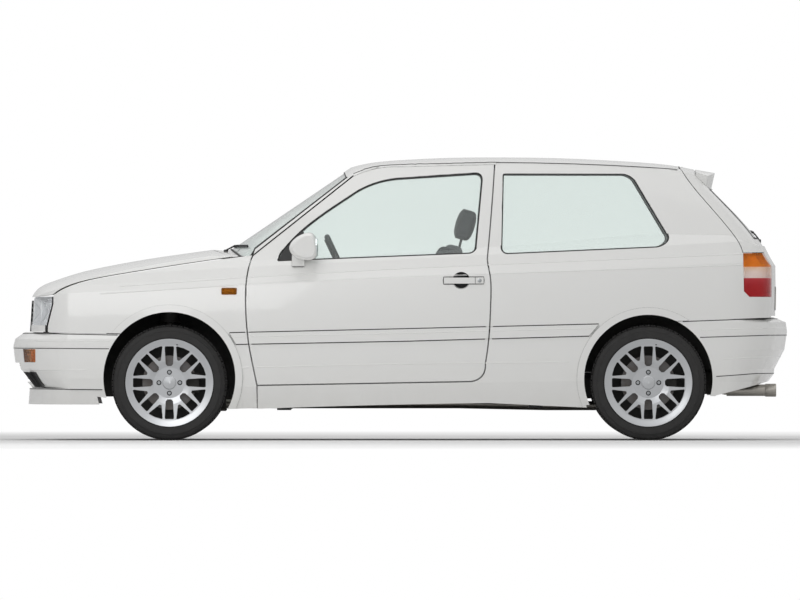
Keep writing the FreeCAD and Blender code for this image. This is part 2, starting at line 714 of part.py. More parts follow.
def bumper_stack(levels, inset, at_front):
    rings = []
    for z, end, half in levels:
        sides = (sy(half) - inset, sy(half + 30) - inset, sy(half - 2) - inset)
        nose = sx(end) + inset if at_front else sx(-1900)
        tail = sx(1900) if at_front else sx(end) - inset
        rings.append(ring(sz(z), 0, nose, tail, BUMPER_BOW, 60, sy(560), sy(560), sides,
                          (sx(SIDE_START), sx(SIDE_END))))
    return Part.makeLoft(rings, True, True)


front_zone = prism(polygon(((-2100, 100), (-2100, 559), (-1948, 559), (-1449, 548), (-1440, 100))),
                   -PLAY, FAR, -FAR)
front_bumper = bumper_stack(FRONT_BUMPER, 0, True).fuse(bumper_stack(LIP_LEVELS, 0, True))
front_hollow = bumper_stack(FRONT_BUMPER, 26, True).fuse(bumper_stack(LIP_LEVELS, 26, True))
front_liner_zone = across(FRONT_AXLE, AXLE_Z + 10, size("well_radius") + 10 + PLAY,
                          -sy(785) - PLAY, 0)
front_bumper = front_bumper.cut(front_hollow).common(front_zone)
front_bumper = front_bumper.cut([front_arch, front_liner_zone, mirrored(front_liner_zone)])
INTAKE = (sx(-2100), sx(-1850), -sy(330), sy(330), sz(300), sz(400))
DUCT = polygon(((-1957, 357), (-1884, 353), (-1838, 271), (-1891, 271)))
INDICATOR = polygon(((-2100, 403), (-1887, 403), (-1887, 471), (-2100, 471)))
INDICATOR_Y = sy(455)
duct = prism(DUCT, 0, -sy(500))
indicator = prism(INDICATOR, 0, -INDICATOR_Y)
lamp_band = bumper_stack(FRONT_BUMPER, 2, True).cut(bumper_stack(FRONT_BUMPER, 22, True))
front_indicator = lamp_band.common(prism(INDICATOR, -PLAY, -INDICATOR_Y - PLAY))
front_bumper = front_bumper.cut([box(*INTAKE), duct, mirrored(duct), indicator, mirrored(indicator)])
piece("front_bumper", front_bumper)

rear_zone = prism(polygon(((1400, 100), (1400, 615), (1462, 618), (1937, 635), (2100, 640),
                           (2100, 366), (1937, 312), (1911, 303), (1634, 232))), -PLAY, FAR, -FAR)
rear_bumper = bumper_stack(REAR_BUMPER, 0, False).cut(bumper_stack(REAR_BUMPER, 26, False))
rear_housing_zone = across(REAR_AXLE, AXLE_Z + 19, size("arch_rear_radius") + 30 + PLAY,
                           -WELL_Y + 20 - PLAY, -REAR_WELL_IN + 12 + PLAY)
OUTLET_Y = -sy(480)
OUTLET_Z = 258
outlet_notch = Part.makeCylinder(size("exhaust_bore") / 2 + 9, 400,
                                 V(sx(1700), OUTLET_Y, OUTLET_Z), V(1, 0, 0))
rear_bumper = rear_bumper.common(rear_zone).cut([rear_arch, rear_housing_zone,
                                                 mirrored(rear_housing_zone), outlet_notch])
piece("rear_bumper", rear_bumper)

# Lamps and grille let into the nose and tail
lamp_shell = SKIN.cut(envelope(55))
GRILLE_Y = sy(385)
NOSE_TOP = 594
GRILLE_Z = (NOSE_TOP + PLAY, sz(722))
HEADLAMP = polygon(((-2000, NOSE_TOP), (-1829, NOSE_TOP), (-1800, 706), (-1800, 743), (-1845, 743),
                    (-2000, 735)))
headlamp = lamp_shell.common(prism(HEADLAMP, -PLAY, -GRILLE_Y - 4))
piece("headlamps", Part.makeCompound([headlamp, mirrored(headlamp), front_indicator,
                                      mirrored(front_indicator)]))
grille_block = box(sx(-2000), sx(-1860), -GRILLE_Y, GRILLE_Y, GRILLE_Z[0], GRILLE_Z[1])
grille = SKIN.cut(envelope(30)).common(grille_block)
SLATS = 4
pitch = (GRILLE_Z[1] - GRILLE_Z[0]) / (SLATS + 1)
for i in range(SLATS):
    z0 = GRILLE_Z[0] + pitch * (i + 0.5) + 6
    grille = grille.cut(box(sx(-2000), sx(-1800), -GRILLE_Y + 12, -4, z0, z0 + pitch - 9))
    grille = grille.cut(box(sx(-2000), sx(-1800), 4, GRILLE_Y - 12, z0, z0 + pitch - 9))
piece("grille", grille)
tail_lamp = lamp_shell.common(prism(TAIL_LAMP, -PLAY, -REAR_FACE_Y - PLAY))
piece("tail_lamps", both_sides(tail_lamp))

# Door mirrors
MIRROR = ((-566, 974), (-513, 1060), (-450, 1064), (-436, 1027), (-447, 941), (-500, 935))


def mirror_ring(y, share):
    cx = sum(x for x, z in MIRROR) / len(MIRROR)
    cz = sum(z for x, z in MIRROR) / len(MIRROR)
    curve = Part.BSplineCurve()
    curve.interpolate([V(sx(cx + (x - cx) * share), y, sz(cz + (z - cz) * share)) for x, z in MIRROR],
                      PeriodicFlag=True)
    return Part.Wire([curve.toShape()])


mirror = Part.makeLoft([mirror_ring(-sy(y), share) for y, share in
                        ((745, 0.5), (790, 0.8), (830, 1), (880, 0.98), (905, 0.8))], True, False)
skin_out = envelope(-PLAY)
mirror_foot = box(sx(-560), sx(-495), -sy(800), -sy(700), sz(900), sz(962))
mirror = largest(mirror.fuse(mirror_foot).cut(skin_out))
piece("mirror_left", mirror)
piece("mirror_right", mirrored(mirror))

# Front structure: bulkhead, inner wings with wheel housings, rails and nose panel
INNER_WING_Y = FRONT_WELL_IN
BULKHEAD_X = sx(-745)
FLOOR_LOW = size("floor_height")
TUNNEL_TOP = CAVITY_FLOOR + 110
shell_inside = lower_body(30).common(cover(30))
bulkhead = lower_body(size("door_thickness") + 15 + PLAY).common(
    box(BULKHEAD_X - 20, BULKHEAD_X, -FAR, FAR, FLOOR_LOW, 930))
housing_out = across(FRONT_AXLE, AXLE_Z + 10, size("well_radius") + 10, -sy(785), -INNER_WING_Y + 12)
housing_in = across(FRONT_AXLE, AXLE_Z + 10, size("well_radius"), -WELL_Y, -INNER_WING_Y)
liner = housing_out.cut(housing_in).common(shell_inside)
liner = liner.common(box(-3000, sx(-858), -FAR, 0, FLOOR_LOW + 10, 3000))
rail = box(sx(-1830), BULKHEAD_X - 20, -INNER_WING_Y + 12, -INNER_WING_Y + 62, 420, 500)
inner_wing = box(FRONT_AXLE - 300, BULKHEAD_X - 20, -INNER_WING_Y + 2, -INNER_WING_Y + 12, 420, 700)
nose_panel = SKIN.cut(UNDER_SKIN).common(
    box(-3000, sx(-1829), -sy(755), sy(755), sz(562), NOSE_TOP))
radiator_panel = box(sx(-1850), sx(-1830), -sy(400), sy(400), 330, 588)
radiator_panel = radiator_panel.fuse(box(sx(-1850), sx(-1830), -sy(380), sy(380), 580, 715))
radiator_panel = radiator_panel.cut(box(sx(-1900), sx(-1800), -sy(330), sy(330), 380, 670))
lamp_ledge = UNDER_SKIN.common(box(sx(-1905), sx(-1829), -sy(600), sy(600), sz(566), NOSE_TOP))
front_structure = bulkhead.fuse([liner, rail, inner_wing, mirrored(liner), mirrored(rail),
                                 mirrored(inner_wing), radiator_panel, nose_panel, lamp_ledge])
piece("front_structure", front_structure)

# Floor: foot well, seat pan over the tank, boot floor and rear panel
SEAT_PAN = FLOOR_LOW + size("seat_pan_rise")
BOOT_FLOOR = FLOOR_LOW + size("boot_floor_rise")
FLOOR_LINE = ((BULKHEAD_X, FLOOR_LOW), (sx(720), FLOOR_LOW), (sx(765), SEAT_PAN), (sx(1150), SEAT_PAN),
              (sx(1220), BOOT_FLOOR), (sx(1950), BOOT_FLOOR))
floor_points = [V(x, -SILL_Y, z) for x, z in FLOOR_LINE]
floor_points += [V(p.x, p.y, p.z + size("floor_thickness")) for p in reversed(floor_points)]
floor_face = Part.Face(Part.makePolygon(floor_points + floor_points[:1]))
inside_tail = lower_body(62)
floor = floor_face.extrude(V(0, 2 * SILL_Y, 0)).common(inside_tail)
housing_keep = across(REAR_AXLE, AXLE_Z + 19, size("arch_rear_radius") + 30 + PLAY, -FAR,
                      -REAR_WELL_IN + 12 + PLAY)
tunnel_room = box(BULKHEAD_X - 10, sx(700), -95, 95, 0, TUNNEL_TOP - 15)
tunnel = box(BULKHEAD_X, sx(720), -110, 110, FLOOR_LOW, TUNNEL_TOP)
rear_panel = inside_tail.cut(lower_body(74)).common(
    box(sx(1700), 3000, -REAR_FACE_Y + 2, REAR_FACE_Y - 2, 345, 632))
floor = floor.cut([housing_keep, mirrored(housing_keep)]).fuse([tunnel, rear_panel])
piece("floor_pan", floor.cut(tunnel_room))


# Sketch helpers: each corner is held by two named distances that follow the sheet
def expression_value(owner, text):
    value = owner.evalExpression(text)
    return float(getattr(value, "Value", value))


def closed_profile(sketch, corners):
    start = sketch.GeometryCount
    values = [(expression_value(sketch, x), expression_value(sketch, y)) for x, y in corners]
    count = len(corners)
    for i, (x, y) in enumerate(values):
        nx, ny = values[(i + 1) % count]
        sketch.addGeometry(Part.LineSegment(V(x, y, 0), V(nx, ny, 0)), False)
    for i in range(count):
        sketch.addConstraint(Sketcher.Constraint("Coincident", start + i, 2, start + (i + 1) % count, 1))
    for i, (x, y) in enumerate(corners):
        for kind, text, value in (("DistanceX", x, values[i][0]), ("DistanceY", y, values[i][1])):
            index = sketch.addConstraint(Sketcher.Constraint(kind, -1, 1, start + i, 1, value))
            name = f"{kind[-1].lower()}{start + i}"
            sketch.renameConstraint(index, name)
            sketch.setExpression(f"Constraints.{name}", text)


def sketch_in(body, name, role):
    sketch = body.newObject("Sketcher::SketchObject", name)
    plane = next(f for f in body.Origin.OriginFeatures if f.Role == role)
    sketch.AttachmentSupport = [(plane, "")]
    sketch.MapMode = "FlatFace"
    return sketch


def new_body(name):
    body = doc.addObject("PartDesign::Body", name)
    body.Label = name
    return body


def place(item, x="0", y="0", z="0"):
    for axis, text in (("x", x), ("y", y), ("z", z)):
        item.setExpression(f"Placement.Base.{axis}", f"({text}) * 1 mm")


def revolved(body, name, corners):
    sketch = sketch_in(body, name + "_profile", "YZ_Plane")
    closed_profile(sketch, corners)
    turn = body.newObject("PartDesign::Revolution", name)
    turn.Profile = sketch
    turn.ReferenceAxis = (sketch, ["H_Axis"])
    turn.Angle = 360
    body.Tip = turn
    return turn


FRONT_X = "dims.front_overhang - (dims.front_overhang + dims.wheelbase + dims.rear_overhang) / 2"
REAR_X = f"{FRONT_X} + dims.wheelbase"
WHEELS = {
    "front_left": (FRONT_X, -1),
    "front_right": (FRONT_X, 1),
    "rear_left": (REAR_X, -1),
    "rear_right": (REAR_X, 1),
}


def polar(body, feature, count):
    pattern = body.newObject("PartDesign::PolarPattern", feature.Name + "_ring")
    pattern.Originals = [feature]
    pattern.Axis = (body_axis(body, "Y_Axis"), [""])
    pattern.Angle = 360
    pattern.Occurrences = count
    body.Tip = pattern
    return pattern


def body_axis(body, role):
    return next(f for f in body.Origin.OriginFeatures if f.Role == role)


# Wheels, modelled with the outer face towards +Y and turned round for the left side
def make_tyre(name):
    body = new_body(name)
    half = "dims.tyre_width / 2"
    revolved(body, name + "_turn", (
        (f"-{half} + 12", "dims.rim_seat_radius + dims.seat_clearance"),
        (f"-{half} + 9", "dims.rim_radius + 1"),
        (f"-{half} + 2", "dims.rim_radius + 4"),
        (f"-{half} - 0", "dims.rim_radius + 24"),
        (f"-{half} + 4", "dims.tyre_radius - dims.tyre_shoulder"),
        (f"-{half} + 12", "dims.tyre_radius - 7"),
        (f"-{half} + 24", "dims.tyre_radius"),
        (f"{half} - 24", "dims.tyre_radius"),
        (f"{half} - 12", "dims.tyre_radius - 7"),
        (f"{half} - 4", "dims.tyre_radius - dims.tyre_shoulder"),
        (f"{half} + 0", "dims.rim_radius + 24"),
        (f"{half} - 2", "dims.rim_radius + 4"),
        (f"{half} - 9", "dims.rim_radius + 1"),
        (f"{half} - 12", "dims.rim_seat_radius + dims.seat_clearance"),
    ))
    return body


def make_rim(name):
    body = new_body(name)
    half = "dims.tyre_width / 2"
    revolved(body, name + "_turn", (
        (f"-{half} - 0", "dims.rim_radius"),
        (f"-{half} + 8", "dims.rim_radius"),
        (f"-{half} + 11", "dims.rim_seat_radius"),
        (f"{half} - 11", "dims.rim_seat_radius"),
        (f"{half} - 8", "dims.rim_radius"),
        (f"{half} + 0", "dims.rim_radius"),
        (f"{half} - 2", "dims.rim_radius - 9"),
        (f"{half} - 8", "dims.rim_window_radius + 4"),
        (f"{half} - 16", "dims.hub_face_radius + 34"),
        (f"{half} - 24", "dims.hub_face_radius + 2"),
        (f"{half} - 24", "36"),
        (f"{half} - 20", "31"),
        (f"{half} - 17", "0"),
        (f"{half} - 60", "0"),
        (f"{half} - 60", "dims.hub_face_radius - 6"),
        (f"{half} - 22 - dims.spoke_depth", "dims.hub_face_radius + 34"),
        (f"{half} - 14 - dims.spoke_depth", "dims.rim_window_radius + 4"),
        (f"{half} - 24 - dims.spoke_depth", "dims.rim_seat_radius - dims.rim_wall"),
        (f"-{half} + 11", "dims.rim_seat_radius - dims.rim_wall"),
        (f"-{half} + 4", "dims.rim_radius - 6"),
    ))
    doc.recompute()
    for kind, corners in (
        ("slot", (("-19", "dims.hub_face_radius + 18"), ("-10", "dims.hub_face_radius + 8"),
                  ("10", "dims.hub_face_radius + 8"), ("19", "dims.hub_face_radius + 18"),
                  ("24", "dims.rim_window_radius - 12"), ("21", "dims.rim_window_radius - 4"),
                  ("-21", "dims.rim_window_radius - 4"), ("-24", "dims.rim_window_radius - 12"))),
        ("window", (("44", "dims.hub_face_radius + 37"), ("54", "dims.hub_face_radius + 33"),
                    ("106", "dims.rim_window_radius - 37"), ("104", "dims.rim_window_radius - 31"),
                    ("74", "dims.rim_window_radius - 14"), ("42", "dims.rim_window_radius - 3"),
                    ("36", "dims.rim_window_radius - 7"))),
    ):
        sketch = sketch_in(body, f"{name}_{kind}_profile", "XZ_Plane")
        closed_profile(sketch, corners)
        pocket = body.newObject("PartDesign::Pocket", f"{name}_{kind}")
        pocket.Profile = sketch
        pocket.Type = "ThroughAll"
        pocket.Midplane = True
        body.Tip = pocket
        doc.recompute()
        polar(body, pocket, 8)
        doc.recompute()
    return body


def make_disc(name):
    body = new_body(name)
    inner = "dims.tyre_width / 2 - 60 - dims.seat_clearance"
    revolved(body, name + "_turn", (
        (inner, "0"),
        (inner, "72"),
        (f"{inner} - 22", "72"),
        (f"{inner} - 22", "dims.disc_radius"),
        (f"{inner} - 22 - dims.disc_thickness", "dims.disc_radius"),
        (f"{inner} - 22 - dims.disc_thickness", "0"),
    ))
    return body


for corner, (axle, side) in WHEELS.items():
    for prefix, make in (("tyre", make_tyre), ("rim", make_rim), ("brake_disc", make_disc)):
        item = make(f"{prefix}_{corner}")
        turn = 180 if side < 0 else 0
        item.Placement = FreeCAD.Placement(V(0, 0, 0), FreeCAD.Rotation(V(0, 0, 1), turn))
        place(item, axle, f"{side} * dims.track / 2", "dims.tyre_radius")
        finished(item)
doc.recompute()
HUB_IN = WHEEL_Y + size("tyre_width") / 2 - 60 - 22 - size("disc_thickness") - PLAY

# Steering knuckle with hub, caliper and strut, on the inclined steering axis
KINGPIN_LOW = (WHEEL_Y - 75, 165)
KINGPIN_TOP = (WHEEL_Y - 150, 672)
STRUT_RUN = (KINGPIN_LOW[0] - KINGPIN_TOP[0]) / (KINGPIN_TOP[1] - KINGPIN_LOW[1])


def kingpin_y(z):
    return KINGPIN_LOW[0] - (z - KINGPIN_LOW[1]) * STRUT_RUN


def on_kingpin(z0, z1, radius):
    start = V(FRONT_AXLE, -kingpin_y(z0), z0)
    way = V(0, STRUT_RUN, 1)
    way.normalize()
    return Part.makeCylinder(radius, (z1 - z0) * math.hypot(1, STRUT_RUN), start, way)


hub = across(FRONT_AXLE, AXLE_Z, 62, -HUB_IN + PLAY, -kingpin_y(AXLE_Z))
upright = on_kingpin(KINGPIN_LOW[1] + 12, 420, 24)
ARM_TOP = 166
ball = Part.makeSphere(15, V(FRONT_AXLE, -kingpin_y(ARM_TOP + 15 + PLAY), ARM_TOP + 15 + PLAY))
damper = on_kingpin(400, KINGPIN_TOP[1] - 8, 20)
spring_seat = on_kingpin(606, 612, 56)
spring = on_kingpin(610, KINGPIN_TOP[1] - 14, 48).cut(on_kingpin(609, KINGPIN_TOP[1] - 13, 38))
spring_cap = on_kingpin(KINGPIN_TOP[1] - 16, KINGPIN_TOP[1] - 10, 54)
steer_arm = box(FRONT_AXLE, FRONT_AXLE + 120, -kingpin_y(260) - 12, -kingpin_y(260) + 12, 250, 274)
caliper = box(FRONT_AXLE + 88, FRONT_AXLE + 152, -HUB_IN - 36, -HUB_IN + 50, AXLE_Z - 52, AXLE_Z + 52)
disc_room = across(FRONT_AXLE, AXLE_Z, size("disc_radius") + 5, -HUB_IN - 25, -HUB_IN + 3)
caliper_arm = box(FRONT_AXLE, FRONT_AXLE + 100, -HUB_IN + 8, -HUB_IN + 40, AXLE_Z - 40, AXLE_Z + 40)
knuckle = upright.fuse([hub, ball, damper, spring_seat, spring, spring_cap, steer_arm,
                        caliper.cut(disc_room), caliper_arm.cut(disc_room)])
piece("knuckle_left", knuckle)
piece("knuckle_right", mirrored(knuckle))

# Front subframe with lower arms that end under the knuckles
ARM_END = KINGPIN_LOW[0]
cross = box(FRONT_AXLE - 70, FRONT_AXLE + 90, -420, 420, 190, 250)
posts = [box(x, x + 50, -INNER_WING_Y + 14, -INNER_WING_Y + 60, 250, 420 - PLAY)
         for x in (FRONT_AXLE - 60, BULKHEAD_X - 110)]
side_rail = box(FRONT_AXLE - 70, BULKHEAD_X - 55, -INNER_WING_Y + 12, -INNER_WING_Y + 64, 210, 250)
ARM_OUTLINE = ((-28, -ARM_END - 24), (28, -ARM_END - 24), (60, -430), (290, -400), (290, -360),
               (-40, -360), (-40, -430))
arm_points = [V(FRONT_AXLE + x, y, 150) for x, y in ARM_OUTLINE]
arm = Part.Face(Part.makePolygon(arm_points + arm_points[:1])).extrude(V(0, 0, ARM_TOP - 150))
arm_mount = box(FRONT_AXLE - 40, FRONT_AXLE + 60, -400, -360, 166, 190)
arm_mount_rear = box(FRONT_AXLE + 250, FRONT_AXLE + 290, -400, -370, 166, 210)
half_frame = posts + [side_rail, arm, arm_mount, arm_mount_rear]
piece("front_subframe", cross.fuse(half_frame + [mirrored(part) for part in half_frame]))

# Engine and gearbox as one block across the car
engine = doc.addObject("Part::Box", "engine_block")
engine.Label = "engine_block"
engine.Length = 430
engine.Width = 720
engine.Height = 480
engine.setExpression("Placement.Base.x", f"({FRONT_X} - 330) * 1 mm")
engine.setExpression("Placement.Base.y", "-engine_block.Width / 2")
engine.Placement.Base.z = 250 + PLAY
finished(engine)

# Rear twist beam with trailing arms, stub axles and struts
beam = across(REAR_AXLE - 190, AXLE_Z - 20, 40, -520, 520)
trailing = box(REAR_AXLE - 420, REAR_AXLE + 40, -REAR_WELL_IN + 25, -REAR_WELL_IN + 75,
               AXLE_Z - 50, AXLE_Z + 20)
stub = across(REAR_AXLE, AXLE_Z, 30, -HUB_IN + PLAY, -REAR_WELL_IN + 60)
strut_foot = V(REAR_AXLE + 20, -REAR_WELL_IN + 62, AXLE_Z)
strut_length = BOOT_FLOOR - PLAY - AXLE_Z
rear_damper = Part.makeCylinder(24, strut_length, strut_foot)
rear_spring = Part.makeCylinder(46, strut_length - 34, strut_foot + V(0, 0, 20))
rear_caliper = box(REAR_AXLE + 84, REAR_AXLE + 146, -HUB_IN - 34, -HUB_IN + 48, AXLE_Z - 44, AXLE_Z + 44)
rear_room = across(REAR_AXLE, AXLE_Z, size("disc_radius") + 5, -HUB_IN - 25, -HUB_IN + 3)
rear_caliper_arm = box(REAR_AXLE, REAR_AXLE + 100, -HUB_IN + 6, -HUB_IN + 30, AXLE_Z - 30, AXLE_Z + 30)
half_axle = trailing.fuse([stub, rear_damper, rear_spring, rear_caliper.cut(rear_room),
                           rear_caliper_arm.cut(rear_room)])
rear_axle = beam.fuse([half_axle, mirrored(half_axle)])
piece("rear_axle", rear_axle)

# Fuel tank under the seat pan
tank = doc.addObject("Part::Box", "fuel_tank")
tank.Label = "fuel_tank"
tank.Length = 250
tank.Width = 760
tank.Height = size("seat_pan_rise")
tank.setExpression("Placement.Base.y", "-fuel_tank.Width / 2")
tank.Placement.Base.x = sx(790)
tank.Placement.Base.z = FLOOR_LOW - PLAY
finished(tank)

# Exhaust: pipe under the tunnel, silencer across the tail, single outlet at the left rear
bore = size("exhaust_bore") / 2
PIPE_Z = 186


def tube(points, radius):
    runs = []
    for a, b in zip(points[:-1], points[1:]):
        way = V(*b) - V(*a)
        runs.append(Part.makeCylinder(radius, way.Length, V(*a), way))
        runs.append(Part.makeSphere(radius, V(*b)))
    return runs


PIPE_LINE = ((-1000, 0, PIPE_Z), (300, 0, PIPE_Z), (760, 60, 176), (1130, 60, 176),
             (1460, -150, 290), (1660, -250, 310))
pipe = tube([(sx(x), y, z) for x, y, z in PIPE_LINE], bore * 0.8)
silencer = Part.makeCylinder(88, 500, V(sx(1690), OUTLET_Y - 20, 322), V(0, 1, 0))
outlet = Part.makeCylinder(bore, sx(1937) - sx(1690), V(sx(1690), OUTLET_Y, OUTLET_Z), V(1, 0, 0))
hangers = [box(sx(-8), sx(8), -8, 8, PIPE_Z, TUNNEL_TOP - 15 - PLAY),
           box(sx(1682), sx(1698), -sy(300) - 8, -sy(300) + 8, 322, BOOT_FLOOR - PLAY)]
exhaust = pipe[0].fuse(pipe[1:] + [silencer, outlet] + hangers)
piece("exhaust", exhaust)

# Cabin furniture
SEAT_Y = sy(360)
dash = new_body("dashboard_form")
dash_sketch = sketch_in(dash, "dashboard_profile", "XZ_Plane")
DASH_LINE = ((-745, 560), (-745, 935), (-700, 962), (-560, 975), (-470, 950), (-430, 905),
             (-450, 760), (-520, 640), (-560, 560))
closed_profile(dash_sketch, [(f"{max(sx(x), BULKHEAD_X + PLAY):.3f}", f"{sz(z):.3f}")
                             for x, z in DASH_LINE])
dash_pad = dash.newObject("PartDesign::Pad", "dashboard_pad")
dash_pad.Profile = dash_sketch
dash_pad.Midplane = True
dash_pad.setExpression("Length", "(dims.body_width - 2 * dims.door_thickness - 320) * 1 mm")
dash.Tip = dash_pad
doc.recompute()
dash_shape = dash.Shape.copy()

WHEEL_TILT = 25
STEER_CENTRE = V(sx(-306), -SEAT_Y, sz(895))
COLUMN_ANGLE = math.radians(WHEEL_TILT)
column_way = V(-math.cos(COLUMN_ANGLE), 0, -math.sin(COLUMN_ANGLE))
rim_ring = Part.makeTorus(172, 15, STEER_CENTRE, column_way)
boss = Part.makeCylinder(62, 40, STEER_CENTRE - column_way * 12, column_way)
spokes = []
for angle in (0, 90, 180, 270):
    spoke = box(-165, 0, -17, 17, -7, 7)
    spoke.rotate(V(0, 0, 0), V(0, 0, 1), angle)
    spoke.rotate(V(0, 0, 0), V(0, 1, 0), 90 + WHEEL_TILT - 50)
    spoke.translate(STEER_CENTRE + column_way * 14)
    spokes.append(spoke)
column = Part.makeCylinder(26, 150, STEER_CENTRE + column_way * (28 + PLAY), column_way)
piece("dashboard", dash_shape.fuse(column))
piece("steering_wheel", rim_ring.fuse([boss] + spokes))


def seat_body(name, line, width):
    body = new_body(name)
    sketch = sketch_in(body, name + "_profile", "XZ_Plane")
    closed_profile(sketch, [(f"{sx(x):.3f}", f"{sz(z):.3f}") for x, z in line])
    pad = body.newObject("PartDesign::Pad", name + "_pad")
    pad.Profile = sketch
    pad.Midplane = True
    pad.Length = width
    body.Tip = pad
    doc.recompute()
    return body


FRONT_SEAT = ((-230, 300), (-250, 420), (-210, 450), (120, 400), (150, 430), (262, 960), (282, 1064),
              (330, 1180), (362, 1196), (396, 1180), (372, 1040), (350, 960), (270, 480), (240, 300))
seat = seat_body("front_seat_form", FRONT_SEAT, 480)
seat_shape = seat.Shape.copy()
seat_shape.translate(V(0, -SEAT_Y, 0))
runners = [box(sx(-180), sx(200), y - 15, y + 15, CAVITY_FLOOR + PLAY, 300)
           for y in (-SEAT_Y - 165, -SEAT_Y + 165)]
piece("front_seats", both_sides(seat_shape.fuse(runners)))
SEAT_FOOT = SEAT_PAN + size("floor_thickness") + PLAY
REAR_SEAT = ((790, SEAT_FOOT), (770, 520), (800, 545), (1060, 500), (1100, 540), (1225, 960), (1300, 960),
             (1215, 480), (1140, SEAT_FOOT))
rear_seat = seat_body("rear_seat_form", REAR_SEAT, 1080)
piece("rear_seat", rear_seat.Shape.copy())

doc.recompute()
for item in doc.Objects:
    if "Invalid" in item.State or "Error" in item.State:
        raise RuntimeError(f"{item.Name}: {item.State}")
for item in PIECES:
    if item.Shape.isNull() or not item.Shape.isValid():
        raise RuntimeError(f"{item.Label}: no valid shape")
for item in PIECES:
    item.Shape.exportStep(f"parts/{item.Label}.step")
print(len(PIECES), "pieces")
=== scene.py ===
import math

import bmesh
import bpy
from mathutils import Matrix, Vector
from mathutils.bvhtree import BVHTree


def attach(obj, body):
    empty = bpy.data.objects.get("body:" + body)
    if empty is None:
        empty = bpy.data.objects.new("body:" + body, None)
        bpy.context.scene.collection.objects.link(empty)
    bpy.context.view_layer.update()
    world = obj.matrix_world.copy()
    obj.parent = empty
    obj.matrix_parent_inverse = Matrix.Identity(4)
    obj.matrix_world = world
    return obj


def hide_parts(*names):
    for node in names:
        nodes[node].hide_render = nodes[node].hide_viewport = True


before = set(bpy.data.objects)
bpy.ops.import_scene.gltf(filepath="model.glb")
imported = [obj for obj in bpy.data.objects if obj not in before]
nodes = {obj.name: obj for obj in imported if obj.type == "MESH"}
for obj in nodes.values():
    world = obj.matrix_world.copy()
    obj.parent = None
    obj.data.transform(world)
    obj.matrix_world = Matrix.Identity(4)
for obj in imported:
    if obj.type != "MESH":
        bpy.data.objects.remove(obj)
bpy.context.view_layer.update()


# Bodywork: pressed steel panels under two-pack white enamel with a clear coat. The eye sees
# a hard, even gloss with a very fine orange peel, and a trace of road dust low on the sills.
SIDES = ((-1, "left"), (1, "right"))


def linear(hex_colour):
    channels = [int(hex_colour[i:i + 2], 16) / 255 for i in (1, 3, 5)]
    return tuple(c / 12.92 if c <= 0.04045 else ((c + 0.055) / 1.055) ** 2.4 for c in channels) + (1,)


def material(name, **sockets):
    made = bpy.data.materials.new(name)
    made.use_nodes = True
    shader = made.node_tree.nodes["Principled BSDF"]
    for socket, value in sockets.items():
        shader.inputs[socket.replace("_", " ")].default_value = value
    return made, made.node_tree, shader


def add(tree, kind, settings, links):
    node = tree.nodes.new(kind)
    for key, value in settings.items():
        if isinstance(key, int) or key in node.inputs:
            node.inputs[key].default_value = value
        else:
            setattr(node, key, value)
    for socket, source in links.items():
        tree.links.new(source, node.inputs[socket])
    return node


def per_metre(millimetres):
    return 1000 / millimetres


def wear(node, *finishes):
    node.data.materials.clear()
    for finish in finishes:
        node.data.materials.append(finish)


def placed(name, mesh):
    carrier = bpy.data.objects.new(name, mesh)
    bpy.context.scene.collection.objects.link(carrier)
    return carrier


enamel, tree, shader = material("white_two_pack_enamel", Coat_Weight=0.7, Coat_Roughness=0.05)
place = add(tree, "ShaderNodeTexCoord", {}, {}).outputs["Object"]
cloud = add(tree, "ShaderNodeTexNoise", {"Scale": 1.7, "Detail": 3.0}, {"Vector": place})
tint = add(tree, "ShaderNodeMix", {"data_type": "RGBA", 6: linear("#ededeb"), 7: linear("#efefed")},
           {0: cloud.outputs["Fac"]})
height = add(tree, "ShaderNodeSeparateXYZ", {}, {"Vector": place}).outputs["Z"]
dust = add(tree, "ShaderNodeMapRange", {"From Min": 0.45, "From Max": 0.12, "To Max": 0.22},
           {"Value": height})
speck = add(tree, "ShaderNodeTexNoise", {"Scale": 9.0, "Detail": 6.0}, {"Vector": place})
dusty = add(tree, "ShaderNodeMath", {"operation": "MULTIPLY"}, {0: dust.outputs[0], 1: speck.outputs["Fac"]})
coat = add(tree, "ShaderNodeMix", {"data_type": "RGBA", 7: linear("#b9b4a8")},
           {0: dusty.outputs[0], 6: tint.outputs[2]})
# Painted shade: shut lines are narrower than a pixel, so the nook test darkens the paint 14 mm
# to each side, in every narrow gap, groove and tight corner where shade falls.
nook = add(tree, "ShaderNodeAmbientOcclusion", {"Distance": 0.014, "samples": 6}, {})
open_share = add(tree, "ShaderNodeMapRange", {"From Min": 0.3, "From Max": 0.6},
                 {"Value": nook.outputs["AO"]})
shade_in_gaps = add(tree, "ShaderNodeMix", {"data_type": "RGBA", 6: linear("#131416")},
             {0: open_share.outputs[0], 7: coat.outputs[2]})
tree.links.new(shade_in_gaps.outputs[2], shader.inputs["Base Color"])
gloss = add(tree, "ShaderNodeMapRange", {"To Min": 0.25, "To Max": 0.27}, {"Value": speck.outputs["Fac"]})
tree.links.new(gloss.outputs[0], shader.inputs["Roughness"])
peel = add(tree, "ShaderNodeTexNoise", {"Scale": 420.0, "Detail": 1.0}, {"Vector": place})
bump = add(tree, "ShaderNodeBump", {"Strength": 0.05, "Distance": 0.0004}, {"Height": peel.outputs["Fac"]})
tree.links.new(bump.outputs["Normal"], shader.inputs["Normal"])
for name in ("body_side_left", "body_side_right", "door_left", "door_right", "fender_left", "fender_right",
             "bonnet", "roof_panel", "cowl_panel", "tailgate", "roof_spoiler", "mirror_left", "mirror_right",
             "front_bumper", "rear_bumper"):
    wear(nodes[name], enamel)

